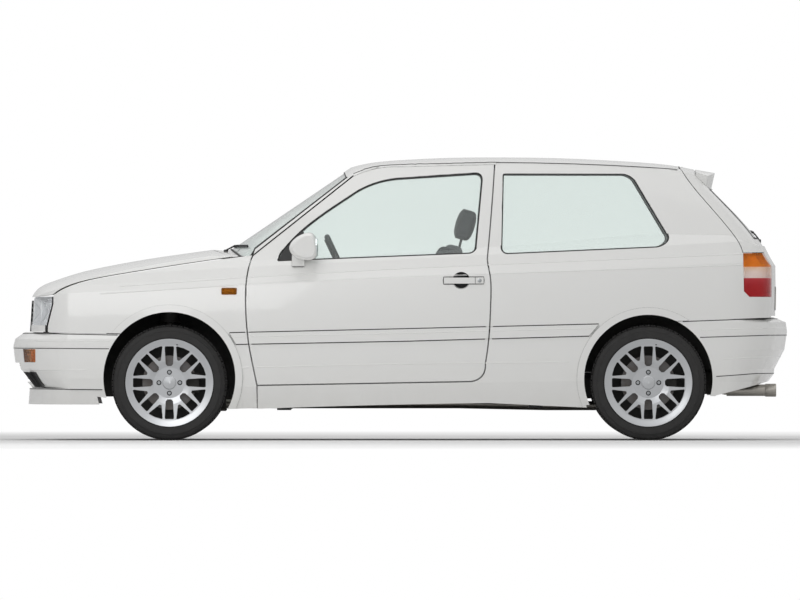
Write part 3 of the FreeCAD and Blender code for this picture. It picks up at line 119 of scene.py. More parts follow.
# The side panel as it is fitted: the barrel of the door hinge lies under the skin's line, and
# the tip behind the wheel ends at the bumper's lower edge.
HINGE_X, HINGE_Z, BARREL_Y = -0.7615, 0.765, 0.8195
TIP_X, TIP_FOOT = 1.6, 0.24
for side, hand in SIDES:
    side_panel = placed(f"side_panel_{hand}", nodes[f"body_side_{hand}"].data.copy())
    for vert in side_panel.data.vertices:
        x, y, z = vert.co
        if abs(x - HINGE_X) < 0.0135 and abs(z - HINGE_Z) < 0.03 and abs(y) > BARREL_Y:
            vert.co.y = side * BARREL_Y
        if x > TIP_X and z < TIP_FOOT:
            vert.co.z = TIP_FOOT
    wear(side_panel, enamel)
    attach(side_panel, "shell")
    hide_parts(f"body_side_{hand}")

# Underside and inner structure: the same steel, sprayed with grey stone-chip underseal that
# dries matt and pebbly, and black chassis paint, satin where it is clean.
def mottled(tree, shader, dark, light, millimetres, detail):
    place = add(tree, "ShaderNodeTexCoord", {}, {}).outputs["Object"]
    mottle = add(tree, "ShaderNodeTexNoise", {"Scale": per_metre(millimetres), "Detail": detail},
                 {"Vector": place})
    shade = add(tree, "ShaderNodeMix", {"data_type": "RGBA", 6: linear(dark), 7: linear(light)},
                {0: mottle.outputs["Fac"]})
    tree.links.new(shade.outputs[2], shader.inputs["Base Color"])
    return place, mottle.outputs["Fac"]


underseal, tree, shader = material("stone_chip_underseal", Roughness=0.85)
place, _ = mottled(tree, shader, "#2b2b2c", "#3a3936", 333.3, 4.0)
pebble = add(tree, "ShaderNodeTexNoise", {"Scale": per_metre(6.25), "Detail": 3.0}, {"Vector": place})
bump = add(tree, "ShaderNodeBump", {"Strength": 0.5, "Distance": 0.002}, {"Height": pebble.outputs["Fac"]})
tree.links.new(bump.outputs["Normal"], shader.inputs["Normal"])
for name in ("floor_pan", "front_structure"):
    wear(nodes[name], underseal)

# Brushed paint: satin black, duller and browner where road grime has dried on it.
chassis_black, tree, shader = material("black_chassis_paint")
place, grime = mottled(tree, shader, "#1b1b1c", "#3b3833", 71.43, 5.0)
sheen = add(tree, "ShaderNodeMapRange", {"To Min": 0.4, "To Max": 0.8}, {"Value": grime})
tree.links.new(sheen.outputs[0], shader.inputs["Roughness"])
for name in ("front_subframe", "rear_axle", "knuckle_left", "knuckle_right"):
    wear(nodes[name], chassis_black)

# Engine, tank and exhaust: a sand-cast iron block, a blow-moulded polyethylene tank, and
# stainless pipe that has gone straw-coloured and dull with heat. Moulding sand and plastic's
# grain are under 1 mm, and are drawn 4 mm and 1.4 mm wide to show.
cast_iron, tree, shader = material("sand_cast_iron", Metallic=0.8, Roughness=0.6)
place, _ = mottled(tree, shader, "#4a4947", "#6a6865", 200, 5.0)
sand = add(tree, "ShaderNodeTexNoise", {"Scale": per_metre(4.167), "Detail": 2.0}, {"Vector": place})
bump = add(tree, "ShaderNodeBump", {"Strength": 0.4, "Distance": 0.001}, {"Height": sand.outputs["Fac"]})
tree.links.new(bump.outputs["Normal"], shader.inputs["Normal"])
wear(nodes["engine_block"], cast_iron)

# Moulded plastic: a fine leather grain breaks the shine into a soft dark haze.
moulded_black, tree, shader = material("grained_black_polypropylene", Roughness=0.52)
place, _ = mottled(tree, shader, "#161617", "#202021", 166.7, 3.0)
grain = add(tree, "ShaderNodeTexVoronoi", {"Scale": per_metre(1.4286)}, {"Vector": place})
bump = add(tree, "ShaderNodeBump", {"Strength": 0.25, "Distance": 0.0005},
           {"Height": grain.outputs["Distance"]})
tree.links.new(bump.outputs["Normal"], shader.inputs["Normal"])
for name in ("fuel_tank", "grille"):
    wear(nodes[name], moulded_black)

stainless, tree, shader = material("heat_stained_stainless", Metallic=1.0)
place, _ = mottled(tree, shader, "#9a958c", "#b9b6b0", 454.5, 3.0)
brush = add(tree, "ShaderNodeMapping", {"Scale": (3.0, 90.0, 90.0)}, {"Vector": place})
streak = add(tree, "ShaderNodeTexNoise", {"Scale": 4.0, "Detail": 3.0}, {"Vector": brush.outputs[0]})
sheen = add(tree, "ShaderNodeMapRange", {"To Min": 0.22, "To Max": 0.46}, {"Value": streak.outputs["Fac"]})
tree.links.new(sheen.outputs[0], shader.inputs["Roughness"])
wear(nodes["exhaust"], stainless)

# Window glass: 5 mm float glass, green only at its edge. Light falls through it on to the
# seats, so it throws no shadow of its own.
def clear_pane(name, hex_colour, weight):
    made, tree, shader = material(name, Base_Color=linear(hex_colour), Roughness=0.02, IOR=1.45)
    through = add(tree, "ShaderNodeBsdfTransparent", {"Color": linear(hex_colour)}, {})
    edge = add(tree, "ShaderNodeFresnel", {"IOR": 1.45}, {})
    gloss = add(tree, "ShaderNodeMath", {"operation": "MULTIPLY_ADD", 1: 0.9, 2: weight},
                {0: edge.outputs[0]})
    shadow = add(tree, "ShaderNodeLightPath", {}, {}).outputs["Is Shadow Ray"]
    lit = add(tree, "ShaderNodeMath", {"operation": "SUBTRACT", 0: 1.0}, {1: shadow})
    share = add(tree, "ShaderNodeMath", {"operation": "MULTIPLY"}, {0: gloss.outputs[0], 1: lit.outputs[0]})
    both = add(tree, "ShaderNodeMixShader", {},
               {0: share.outputs[0], 1: through.outputs[0], 2: shader.outputs[0]})
    tree.links.new(both.outputs[0], tree.nodes["Material Output"].inputs["Surface"])
    return made


float_glass = clear_pane("green_edged_float_glass", "#f9fcfb", 0.05)
for name in ("windscreen", "quarter_windows", "door_glass_left", "door_glass_right", "tailgate_glass"):
    wear(nodes[name], float_glass)

# Window seals: extruded EPDM rubber beads, matt black with a chalky bloom, that lap each
# pane's rim. A node tree finds the rim by its sharp edge and runs the bead along it.
rubber, tree, shader = material("extruded_epdm_rubber", Roughness=0.6)
mottled(tree, shader, "#0e0e0f", "#1d1d1e", 33.33, 4.0)


def node_tree(name, *inputs):
    tree = bpy.data.node_groups.new(name, "GeometryNodeTree")
    tree.interface.new_socket("Geometry", in_out="INPUT", socket_type="NodeSocketGeometry")
    for label, kind, value in inputs:
        socket = tree.interface.new_socket(label, in_out="INPUT", socket_type=f"NodeSocket{kind}")
        if value is not None:
            socket.default_value = value
    tree.interface.new_socket("Geometry", in_out="OUTPUT", socket_type="NodeSocketGeometry")
    return tree, tree.nodes.new("NodeGroupInput").outputs, tree.nodes.new("NodeGroupOutput").inputs


# The quarter pane's skin folds along z 1.0657. Its faces are split there, so that the bead
# takes the fold for no rim.
FOLD_Z = 1.0657


def merged_copy(name):
    grid = bmesh.new()
    grid.from_mesh(nodes[name].data)
    bmesh.ops.remove_doubles(grid, verts=grid.verts, dist=0.00002)
    bmesh.ops.dissolve_degenerate(grid, dist=0.0002, edges=grid.edges)
    creases = [edge for edge in grid.edges if edge.calc_length() > 0.01
               and all(1.1 < vert.co.x < 1.383 and abs(vert.co.z - FOLD_Z) < 0.0015 for vert in edge.verts)]
    bmesh.ops.split_edges(grid, edges=creases)
    mesh = bpy.data.meshes.new(name + "_copy")
    grid.to_mesh(mesh)
    grid.free()
    mesh.materials.clear()
    return mesh


def grown(name, mesh, tree, body, slot, made, place=Matrix(), **sizes):
    piece = placed(name, mesh)
    modifier = piece.modifiers.new(name, "NODES")
    modifier.node_group = tree
    for socket in tree.interface.items_tree:
        if socket.in_out == "INPUT" and socket.name in sizes:
            modifier[socket.identifier] = sizes[socket.name]
    bpy.context.view_layer.update()
    solid = bpy.data.meshes.new_from_object(piece.evaluated_get(bpy.context.evaluated_depsgraph_get()))
    piece.modifiers.clear()
    solid.transform(place)
    piece.data = solid
    if not solid.materials:
        solid.materials.append(made)
    solid.shade_smooth()
    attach(piece, body)
    return piece


bead, given, result = node_tree("bead_along_rim", ("Radius", "Float", 0.006), ("Angle", "Float", 0.9),
                                ("Rubber", "Material", rubber))
angle = add(bead, "GeometryNodeInputMeshEdgeAngle", {}, {}).outputs[0]
sharp = add(bead, "FunctionNodeCompare", {"operation": "GREATER_THAN"}, {0: angle, 1: given["Angle"]})
rim = add(bead, "GeometryNodeMeshToCurve", {}, {0: given["Geometry"], 1: sharp.outputs[0]})
even = add(bead, "GeometryNodeResampleCurve", {"mode": "LENGTH", "Length": 0.012}, {0: rim.outputs[0]})
section = add(bead, "GeometryNodeCurvePrimitiveCircle", {"Resolution": 8}, {"Radius": given["Radius"]})
tube = add(bead, "GeometryNodeCurveToMesh", {}, {0: even.outputs[0], 1: section.outputs[0]})
dressed = add(bead, "GeometryNodeSetMaterial", {}, {0: tube.outputs[0], 2: given["Rubber"]})
real = add(bead, "GeometryNodeRealizeInstances", {}, {0: dressed.outputs[0]})
bead.links.new(real.outputs[0], result[0])
for pane, body, radius, least in (("door_glass_left", "left_door", 0.006, 0.9),
                                  ("door_glass_right", "right_door", 0.006, 0.9),
                                  ("quarter_windows", "shell", 0.006, 1.25),
                                  ("windscreen", "shell", 0.006, 0.9),
                                  ("tailgate_glass", "tail_lid", 0.009, 0.9)):
    grown(pane + "_seal", merged_copy(pane), bead, body, "window_rubber", rubber, Radius=radius, Angle=least)

# Jack pads: a black rubber boot over each steel pad under the sill, where a lift takes hold.
def block(low, high, bevel=0.0):
    grid = bmesh.new()
    bmesh.ops.create_cube(grid, size=1)
    for vert in grid.verts:
        vert.co = [low[k] + (vert.co[k] + 0.5) * (high[k] - low[k]) for k in range(3)]
    if bevel:
        bmesh.ops.bevel(grid, geom=grid.edges[:], offset=bevel, segments=3, affect="EDGES", profile=0.6)
    return meshed(grid)


def meshed(grid):
    bmesh.ops.remove_doubles(grid, verts=grid.verts, dist=0.000005)
    bmesh.ops.recalc_face_normals(grid, faces=grid.faces)
    mesh = bpy.data.meshes.new("form")
    grid.to_mesh(mesh)
    grid.free()
    return mesh


def united(forms):
    grid = bmesh.new()
    for form in forms:
        grid.from_mesh(form)
    mesh = bpy.data.meshes.new("group")
    grid.to_mesh(mesh)
    grid.free()
    return mesh


def piece(name, forms, body, slot, made, sharp=40):
    mesh = united(forms) if isinstance(forms, list) else forms
    mesh.materials.clear()
    mesh.materials.append(made)
    mesh.shade_smooth()
    mesh.set_sharp_from_angle(angle=math.radians(sharp))
    made_piece = placed(name, mesh)
    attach(made_piece, body)
    return made_piece


SILL_TOP = 0.204
pads = [block((x - 0.037, y - 0.027, z - 0.002), (x + 0.037, y + 0.027, SILL_TOP), 0.003)
        for x, z in ((-0.6, 0.158), (0.7, 0.17)) for y in (-0.715, 0.715)]
piece("jack_pad_boots", pads, "shell", "window_rubber", rubber)

# Pressed and moulded lines of the flank: the rub strip's ridge, two swage lines and the low
# crease, painted; the strip's rubber edges, 3 mm wide and drawn 5 mm to show; and the moulding
# up the pillar. Each is laid on the panel under it.
BESIDE = 1.2
FLANK_Y = 0.42


def surface(*names):
    grid = bmesh.new()
    for name in names:
        grid.from_mesh(nodes[name].data)
    found = BVHTree.FromBMesh(grid)
    grid.free()
    return found


def at_side(panel, x, z, side):
    return panel.ray_cast(Vector((x, side * BESIDE, z)), Vector((0, -side, 0)))[0]


def stations(line, step):
    spots = []
    for a, b in zip(line[:-1], line[1:]):
        count = max(1, round(math.dist(a, b) / step))
        spots += [[a[k] + (b[k] - a[k]) * i / count for k in range(len(a))] for i in range(count)]
    return spots + [list(line[-1])]


def on_side(panel, line, side, sink, step=0.02):
    runs = [[]]
    for x, z in stations(line, step):
        spot = at_side(panel, x, z, side)
        if spot and abs(spot.y) > FLANK_Y:
            runs[-1].append(spot + Vector((0, -side * sink, 0)))
        elif runs[-1]:
            runs.append([])
    return [run for run in runs if len(run) > 2]


def tube(points, radius, closed=False):
    curve = bpy.data.curves.new("run", "CURVE")
    curve.dimensions = "3D"
    curve.bevel_depth = radius
    curve.bevel_resolution = 2
    curve.use_fill_caps = not closed
    spline = curve.splines.new("POLY")
    spline.points.add(len(points) - 1)
    for point, spot in zip(spline.points, points):
        point.co = (*spot, 1)
    spline.use_cyclic_u = closed
    carrier = bpy.data.objects.new("run", curve)
    mesh = bpy.data.meshes.new_from_object(carrier)
    bpy.data.objects.remove(carrier)
    bpy.data.curves.remove(curve)
    return mesh


STRIP_RIDGE = ((-0.875, 0.536), (0.0, 0.554), (0.99, 0.58))
SWAGE_HIGH = ((-1.45, 0.795), (-0.803, 0.841), (0.0, 0.887), (1.766, 0.962))
SWAGE_LOW = ((-1.55, 0.757), (-0.803, 0.805), (0.0, 0.844), (1.766, 0.906))
CREASE_LOW = ((-0.84, 0.376), (0.0, 0.396), (0.869, 0.405))
STRIP_TOP = ((-0.882, 0.5565), (-0.001, 0.5765), (1.025, 0.6015))
STRIP_FOOT = ((-0.849, 0.4955), (-0.001, 0.5115), (0.975, 0.5385))
PILLAR = ((-0.752, 0.99), (-0.276, 1.359))
FLANK_KINDS = (
    ("lines", "body_paint", enamel, ((STRIP_RIDGE, 0.004, 0.0022), (SWAGE_HIGH, 0.006, 0.0042),
                                     (SWAGE_LOW, 0.006, 0.0042), (CREASE_LOW, 0.006, 0.0042))),
    ("strip_gasket", "window_rubber", rubber, ((STRIP_TOP, 0.0026, 0.0004), (STRIP_FOOT, 0.0026, 0.0004))))
for kind, slot, made, lines in FLANK_KINDS:
    for part in ("fender", "door", "body_side"):
        for side, hand in SIDES:
            panel = surface(f"{part}_{hand}")
            forms = [tube(run, radius) for line, radius, sink in lines
                     for run in on_side(panel, line, side, sink)]
            piece(f"{part}_{kind}_{hand}", forms, f"{hand}_door" if part == "door" else "shell", slot, made)
for side, hand in SIDES:
    top = surface("roof_panel", "windscreen", f"body_side_{hand}", f"door_{hand}")
    forms = [tube(run, 0.0055) for run in on_side(top, PILLAR, side, 0.001, 0.03)]
    piece(f"pillar_moulding_{hand}", forms, "shell", "window_rubber", rubber)

# Drip rail: a folded steel channel spot-welded along each side of the roof, painted with the
# body, that closes the joint over the door. A thin black sealer line follows the roof's edge.
# The joint is found by climbing the side until the hit jumps from the door to the roof.
def lofted(rings):
    grid = bmesh.new()
    loops = [[grid.verts.new(spot) for spot in ring] for ring in rings]
    for here, there in zip(loops[:-1], loops[1:]):
        for i in range(len(here)):
            j = (i + 1) % len(here)
            grid.faces.new((here[i], here[j], there[j], there[i]))
    grid.faces.new(loops[0])
    grid.faces.new(loops[-1])
    return meshed(grid)


CLIMB_FROM, CLIMB, CLIMBS = 1.355, 0.0015, 70
INSIDE_Y = 0.535
JOINT = 0.004
RAIL_LAP = 0.0055


def door_top(skin, x, side):
    edge = None
    for k in range(CLIMBS):
        z = CLIMB_FROM + CLIMB * k
        spot = at_side(skin, x, z, side)
        if spot and abs(spot.y) > INSIDE_Y:
            if edge and z - edge.z > JOINT:
                return edge, spot + Vector((0, 0, RAIL_LAP))
            edge = spot
    return None


RAIL_NOSE, RAIL_TAIL, RAIL_STEP = -0.262, 0.497, 0.02
SEALER_Y = 0.45
ROOF_EDGE = ((0.52, 1.437), (0.7, 1.435), (0.9, 1.43), (1.1, 1.422), (1.3, 1.411), (1.4, 1.404),
             (1.435, 1.4005))
for side, hand in SIDES:
    skin = surface("roof_panel", f"door_{hand}", f"body_side_{hand}")
    out = Vector((0, side, 0))
    up = Vector((0, 0, 0.002))
    rings = []
    for k in range(38):
        found = door_top(skin, RAIL_NOSE + RAIL_STEP * k, side)
        if found:
            foot, head = found
            rings.append((foot + out * 0.0004 + up, head + out * 0.0012, head - out * 0.006,
                          foot - out * 0.006 + up))
    onward = Vector((RAIL_TAIL - rings[-1][0].x, 0, 0))
    rings.append([corner + onward for corner in rings[-1]])
    piece(f"drip_rail_{hand}", lofted(rings), "shell", "body_paint", enamel)
    run = [ring[1] for ring in rings]
    for x, z in stations(ROOF_EDGE, RAIL_STEP):
        hits = [at_side(skin, x, z + rise, side) for rise in (-0.003, 0.003)]
        reach = max((abs(hit.y) for hit in hits if hit), default=0)
        if reach > SEALER_Y:
            run.append(Vector((x, side * (reach - 0.0002), z)))
    piece(f"roof_sealer_{hand}", [tube(run, 0.0019)], "shell", "window_rubber", rubber)

# Bumper lines: the moulded edges of the bumper's band are picked out by a body-colour bead,
# and its joints by a thin black line, all carried round the corner on to the face.
CORNER_Y = 0.66
FACE_X = 1.8


def round_end(panel, line, lead, sink):
    flanks = []
    for side in (-1, 1):
        hits = [at_side(panel, x, z, side) for x, z in stations(line, 0.015)]
        flanks.append([hit - Vector((0, side * sink, 0)) for hit in hits if hit and abs(hit.y) > CORNER_Y])
    level = flanks[0][-1].z
    hits = [panel.ray_cast(Vector((lead * 3, -CORNER_Y + 0.03 * k, level)), Vector((-lead, 0, 0)))[0]
            for k in range(45)]
    face = [hit - Vector((lead * sink, 0, 0)) for hit in hits if hit and abs(hit.x) > FACE_X]
    return flanks[0] + face + flanks[1][::-1]


FRONT_BEADS = (((-1.5, 0.515), (-2.0, 0.515)), ((-1.62, 0.3655), (-2.0, 0.3655)))
FRONT_JOINTS = (((-1.46, 0.5435), (-2.0, 0.5545)), ((-1.475, 0.473), (-2.0, 0.4765)),
                ((-1.51, 0.262), (-2.0, 0.266)))
REAR_BEADS = (((1.555, 0.57), (2.0, 0.584)), ((1.67, 0.421), (2.0, 0.436)))
REAR_JOINTS = (((1.46, 0.6135), (1.75, 0.6245), (2.0, 0.631)), ((1.549, 0.532), (2.0, 0.546)),
               ((1.633, 0.33), (2.0, 0.357)))
for node, lead, beads, joints in (("front_bumper", -1, FRONT_BEADS, FRONT_JOINTS),
                                  ("rear_bumper", 1, REAR_BEADS, REAR_JOINTS)):
    panel = surface(node)
    for kind, lines, sink, radius, slot, made in (
            ("beads", beads, 0.0032, 0.0045, "body_paint", enamel),
            ("joints", joints, 0.0008, 0.0024, "window_rubber", rubber)):
        forms = [tube(round_end(panel, line, lead, sink), radius) for line in lines]
        piece(f"{node}_{kind}", forms, "shell", slot, made)

# Air openings: black slatted screens of moulded plastic, one deep in the bumper's middle and
# one in each slanted corner duct. The middle one follows the chin's slope and its bow.
bumper = surface("front_bumper")
SCREEN_FOOT, SCREEN_HEAD = 0.302, 0.398


def nose(y, z, depth):
    return Vector((-1.9377 - 0.623 * (z - 0.3) + 0.257 * y * y + depth, y, z))


def skin_of(sheets):
    grid = bmesh.new()
    rows, columns = len(sheets[0]) - 1, len(sheets[0][0]) - 1
    near, far = ([[grid.verts.new(spot) for spot in row] for row in sheet] for sheet in sheets)
    for sheet in (near, far):
        for i in range(rows):
            for j in range(columns):
                grid.faces.new((sheet[i][j], sheet[i][j + 1], sheet[i + 1][j + 1], sheet[i + 1][j]))
    rim = [(0, j) for j in range(columns)] + [(i, columns) for i in range(rows)] + \
          [(rows, j) for j in range(columns, 0, -1)] + [(i, 0) for i in range(rows, 0, -1)]
    for (i, j), (m, n) in zip(rim, rim[1:] + rim[:1]):
        grid.faces.new((near[i][j], near[m][n], far[m][n], far[i][j]))
    return meshed(grid)


slats = [tube([nose(-0.3245 + 0.0295 * k, z, 0.018) for k in range(23)], 0.004)
         for z in (0.32, 0.342, 0.364, 0.386)]
slats += [tube([nose(0.09 * k, z, 0.022) for z in (SCREEN_FOOT, SCREEN_HEAD)], 0.003) for k in range(-3, 4)]
slats.append(lofted([[nose(0.0543 * k, z, depth) for z, depth in ((SCREEN_FOOT, 0.034), (SCREEN_HEAD, 0.034),
                                                                   (SCREEN_HEAD, 0.04), (SCREEN_FOOT, 0.04))]
                     for k in range(-6, 7)]))
DUCT_FORE = ((-1.957, 0.357), (-1.891, 0.271))
DUCT_AFT = ((-1.884, 0.353), (-1.838, 0.271))
DUCT_HEAD, DUCT_FOOT = 0.362, 0.2655
DUCT_WALL_Y = 0.499
for side in (-1, 1):
    sheets = []
    for depth in (0.009, 0.013):
        rows = []
        for i in range(9):
            v = 0.04 + 0.92 * i / 8
            row = []
            for j in range(9):
                u = 0.04 + 0.92 * j / 8
                x, z = ((1 - u) * (DUCT_FORE[0][k] + (DUCT_FORE[1][k] - DUCT_FORE[0][k]) * v)
                        + u * (DUCT_AFT[0][k] + (DUCT_AFT[1][k] - DUCT_AFT[0][k]) * v) for k in (0, 1))
                above = abs(at_side(bumper, x, DUCT_HEAD, side).y)
                foot = at_side(bumper, x, DUCT_FOOT, side)
                below = abs(foot.y) if foot else 0.3
                y = above + (below - above) * (DUCT_HEAD - z) / (DUCT_HEAD - DUCT_FOOT)
                row.append((x, side * max(DUCT_WALL_Y + 0.002 * (0.013 - depth), y - depth), z))
            rows.append(row)
        sheets.append(rows)
    slats += [tube([row[j] for row in sheets[0]], 0.003) for j in (2, 4, 6)]
    slats.append(skin_of(sheets))
piece("air_screens", slats, "shell", "dark_grille", moulded_black)

# Wheel housings: felt-faced liners pressed into the rear arches, near black, each with an
# inner cheek and the closing piece behind the wheel.
LINER_WALL = 0.0015
LINER_FOOT = 0.238
REAR_ARCH = (1.282, 0.317)


def arch_liner(centre, radius, y_in, y_out, floor_z):
    def rim(r, turn_angle, y):
        return Vector((centre[0] + r * math.cos(turn_angle), y, centre[1] + r * math.sin(turn_angle)))

    turns = [math.radians(-14 + 4 * k) for k in range(53)]
    low = math.asin((floor_z - centre[1]) / radius)
    cheek = [low + (math.pi - 2 * low) * k / 40 for k in range(41)]
    inner = y_in + math.copysign(LINER_WALL, y_in)
    return [lofted([(rim(radius, t, y_in), rim(radius, t, y_out), rim(radius - LINER_WALL, t, y_out),
                     rim(radius - LINER_WALL, t, y_in)) for t in turns]),
            lofted([[rim(radius - 0.0002, t, y) for t in cheek] for y in (y_in, inner)]),
            block((centre[0] + 0.25, min(y_in, inner), LINER_FOOT),
                  (centre[0] + 0.335, max(y_in, inner), floor_z + 0.01))]


liners = []
for side in (-1, 1):
    liners += arch_liner(REAR_ARCH, 0.3485, side * 0.587, side * 0.782, 0.353)
piece("rear_arch_liners", liners, "shell", "cabin_plastic", underseal)

# Headlamps, front indicators and tail lamps: hard-coated polycarbonate lenses with moulded
# flutes or ribs, welded to dark housings whose inner walls are vacuum-aluminised.
# The coating is drawn near-white and barely metallic, slightly rippled: a painted reflection
# that stands in for the silver shine of the aluminium behind the lenses.
painted_bright_reflector, tree, shader = material("aluminised_plastic_painted_bright", Base_Color=linear("#f4f5f6"), Metallic=0.1)
place = add(tree, "ShaderNodeTexCoord", {}, {}).outputs["Object"]
ripple = add(tree, "ShaderNodeTexNoise", {"Scale": 40.0, "Detail": 2.0}, {"Vector": place})
sheen = add(tree, "ShaderNodeMapRange", {"To Min": 0.08, "To Max": 0.2}, {"Value": ripple.outputs["Fac"]})
tree.links.new(sheen.outputs[0], shader.inputs["Roughness"])


def ribbed_lens(name, direction, pitch, tones, clear=0.0):
    made, tree, shader = material(name, Transmission_Weight=0.9, IOR=1.25, Roughness=0.06)
    place = add(tree, "ShaderNodeTexCoord", {}, {}).outputs["Object"]
    rib = add(tree, "ShaderNodeTexWave", {"wave_type": "BANDS", "bands_direction": direction,
                                          "Scale": 0.314 / pitch}, {"Vector": place})
    bump = add(tree, "ShaderNodeBump", {"Strength": 0.55, "Distance": 0.0015}, {"Height": rib.outputs["Fac"]})
    height = add(tree, "ShaderNodeSeparateXYZ", {}, {"Vector": place}).outputs["Z"]
    share = add(tree, "ShaderNodeMapRange", {"From Min": 0.4, "From Max": 1.0}, {"Value": height})
    ramp = add(tree, "ShaderNodeValToRGB", {}, {"Fac": share.outputs[0]})
    ramp.color_ramp.interpolation = "CONSTANT"
    bands = ramp.color_ramp.elements
    for i, (start, tone) in enumerate(tones):
        band = bands[i] if i < 2 else bands.new(start)
        band.position = start
        band.color = linear(tone)
    if len(tones) < 2:
        bands.remove(bands[1])
    tree.links.new(ramp.outputs[0], shader.inputs["Base Color"])
    tree.links.new(bump.outputs["Normal"], shader.inputs["Normal"])
    through = add(tree, "ShaderNodeBsdfTransparent", {}, {"Color": ramp.outputs[0]})
    shadow = add(tree, "ShaderNodeLightPath", {}, {}).outputs["Is Shadow Ray"]
    seen_past = add(tree, "ShaderNodeMath", {"operation": "MAXIMUM", 1: clear}, {0: shadow})
    both = add(tree, "ShaderNodeMixShader", {}, {0: seen_past.outputs[0], 1: shader.outputs[0],
                                                 2: through.outputs[0]})
    tree.links.new(both.outputs[0], tree.nodes["Material Output"].inputs["Surface"])
    return made


# The lenses catch the light in upright flutes, 12 mm apart at the front; the indicator's end
# is amber. The tail's level ribs, 7 mm apart, run through red, clear and amber.
head_lens = ribbed_lens("fluted_headlamp_lens", "Y", 0.012, [(0.0, "#f8c27c"), (0.15, "#fbfcfd")], 0.5)
tail_lens = ribbed_lens("ribbed_tail_lens", "Z", 0.007,
                        [(0.0, "#a3141c"), (0.727, "#ece9e7"), (0.827, "#e0720f")])


INDICATOR_HEAD = 0.49
for name, node, slot, lens, lead in (("headlamp_units", "headlamps", "lamp_glass", head_lens, -1),
                                     ("tail_lamp_units", "tail_lamps", "red_lens", tail_lens, 1)):
    unit = placed(name, nodes[node].data.copy())
    wear(unit, painted_bright_reflector, lens)
    for face in unit.data.polygons:
        outward = Vector((lead, 0.6 * math.copysign(1, face.center.y), 0)).normalized()
        tinted = face.center.z < INDICATOR_HEAD or face.normal.dot(outward) > 0.3
        face.material_index = 1 if tinted else 0
    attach(unit, "shell")
    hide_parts(node)

# The enamelled steel strip that shows between each headlamp and the bumper.
SILL_FOOT, SILL_LEVEL, SILL_HEAD = 0.561, 0.58, 0.5955
nose_panel = surface("front_structure")
for side, hand in SIDES:
    rings = []
    for k in range(-3, 14):
        turn_angle = math.radians(4 * k)
        out = Vector((-math.cos(turn_angle), side * math.sin(turn_angle), 0))
        face = nose_panel.ray_cast(Vector((-1.6, side * 0.4, SILL_LEVEL)) + out, -out)[0]
        if face and face.x < -FACE_X:
            rings.append([face + out * lift + Vector((0, 0, z - SILL_LEVEL)) for lift, z in (
                (0.0015, SILL_HEAD), (0.0015, SILL_FOOT), (-0.004, SILL_FOOT), (-0.004, SILL_HEAD))])
    piece(f"lamp_sill_{hand}", lofted(rings), "shell", "body_paint", enamel)


def turned(profile, steps, centre, axis, squeeze=(1, 1)):
    upright = Vector((0, 0, 1)).rotation_difference(Vector(axis))
    place = Matrix.Translation(centre) @ upright.to_matrix().to_4x4()
    grid = bmesh.new()
    rings = []
    for k in range(steps):
        turn = 2 * math.pi * k / steps
        rings.append([grid.verts.new(place @ Vector((r * math.cos(turn) * squeeze[0],
                                                     r * math.sin(turn) * squeeze[1], h)))
                      for r, h in profile])
    for here, there in zip(rings, rings[1:] + rings[:1]):
        for i in range(len(profile) - 1):
            grid.faces.new((here[i], here[i + 1], there[i + 1], there[i]))
    return meshed(grid)


BULB = ((0, 0.022), (0.009, 0.02), (0.011, 0.004), (0, 0.002))
bowls = []
for side in (-1, 1):
    for y, radius in ((0.455, 0.046), (0.58, 0.056)):
        bowl = [(radius * k / 8, 0.03 * (k / 8) ** 2) for k in range(9)]
        back = [(r, h - 0.003) for r, h in reversed(bowl)]
        focus = (-1.868 + (y - 0.455) * 0.32, side * y, 0.668)
        bowls += [turned(bowl + back, 32, focus, (-1, 0, 0)), turned(BULB, 16, focus, (-1, 0, 0))]
piece("headlamp_reflectors", bowls, "shell", "lamp_glass", painted_bright_reflector)

# Tyres: carbon-black rubber moulded round steel belts, charcoal and matt with a grey bloom,
# with a rim rib and a ring on the sidewall. A node tree lays five rows of siped blocks round
# the tread base.
tyre_black, tree, shader = material("moulded_tyre_rubber", Roughness=0.72)
place, _ = mottled(tree, shader, "#1a1a1b", "#2c2b2a", 45.45, 5.0)
grit = add(tree, "ShaderNodeTexNoise", {"Scale": per_metre(2), "Detail": 2.0}, {"Vector": place})
bump = add(tree, "ShaderNodeBump", {"Strength": 0.15, "Distance": 0.0005}, {"Height": grit.outputs["Fac"]})
tree.links.new(bump.outputs["Normal"], shader.inputs["Normal"])

treads, given, result = node_tree("tread_blocks", ("Blocks", "Int", 60), ("Rows", "Int", 5),
                                  ("Pitch", "Float", 0.034), ("Radius", "Float", 0.2893),
                                  ("Rubber", "Material", tyre_black))
half_back = add(treads, "ShaderNodeMath", {"operation": "MULTIPLY_ADD", 1: -0.5, 2: 0.5}, {0: given["Rows"]})
low_end = add(treads, "ShaderNodeMath", {"operation": "MULTIPLY"},
              {0: half_back.outputs[0], 1: given["Pitch"]})
start = add(treads, "ShaderNodeCombineXYZ", {}, {"Z": low_end.outputs[0]})
step = add(treads, "ShaderNodeCombineXYZ", {}, {"Z": given["Pitch"]})
row = add(treads, "GeometryNodeMeshLine", {}, {"Count": given["Rows"], "Start Location": start.outputs[0],
                                               "Offset": step.outputs[0]})
across = add(treads, "GeometryNodeInstanceOnPoints", {}, {"Points": row.outputs[0],
                                                          "Instance": given["Geometry"]})
circle = add(treads, "GeometryNodeMeshCircle", {}, {"Vertices": given["Blocks"], "Radius": given["Radius"]})
spot = add(treads, "GeometryNodeInputPosition", {}, {})
turn = add(treads, "FunctionNodeAlignRotationToVector", {"axis": "X"}, {"Vector": spot.outputs[0]})
around = add(treads, "GeometryNodeInstanceOnPoints", {}, {"Points": circle.outputs[0],
                                                          "Instance": across.outputs[0],
                                                          "Rotation": turn.outputs[0]})
real = add(treads, "GeometryNodeRealizeInstances", {}, {0: around.outputs[0]})
dressed = add(treads, "GeometryNodeSetMaterial", {}, {0: real.outputs[0], 2: given["Rubber"]})
treads.links.new(dressed.outputs[0], result[0])

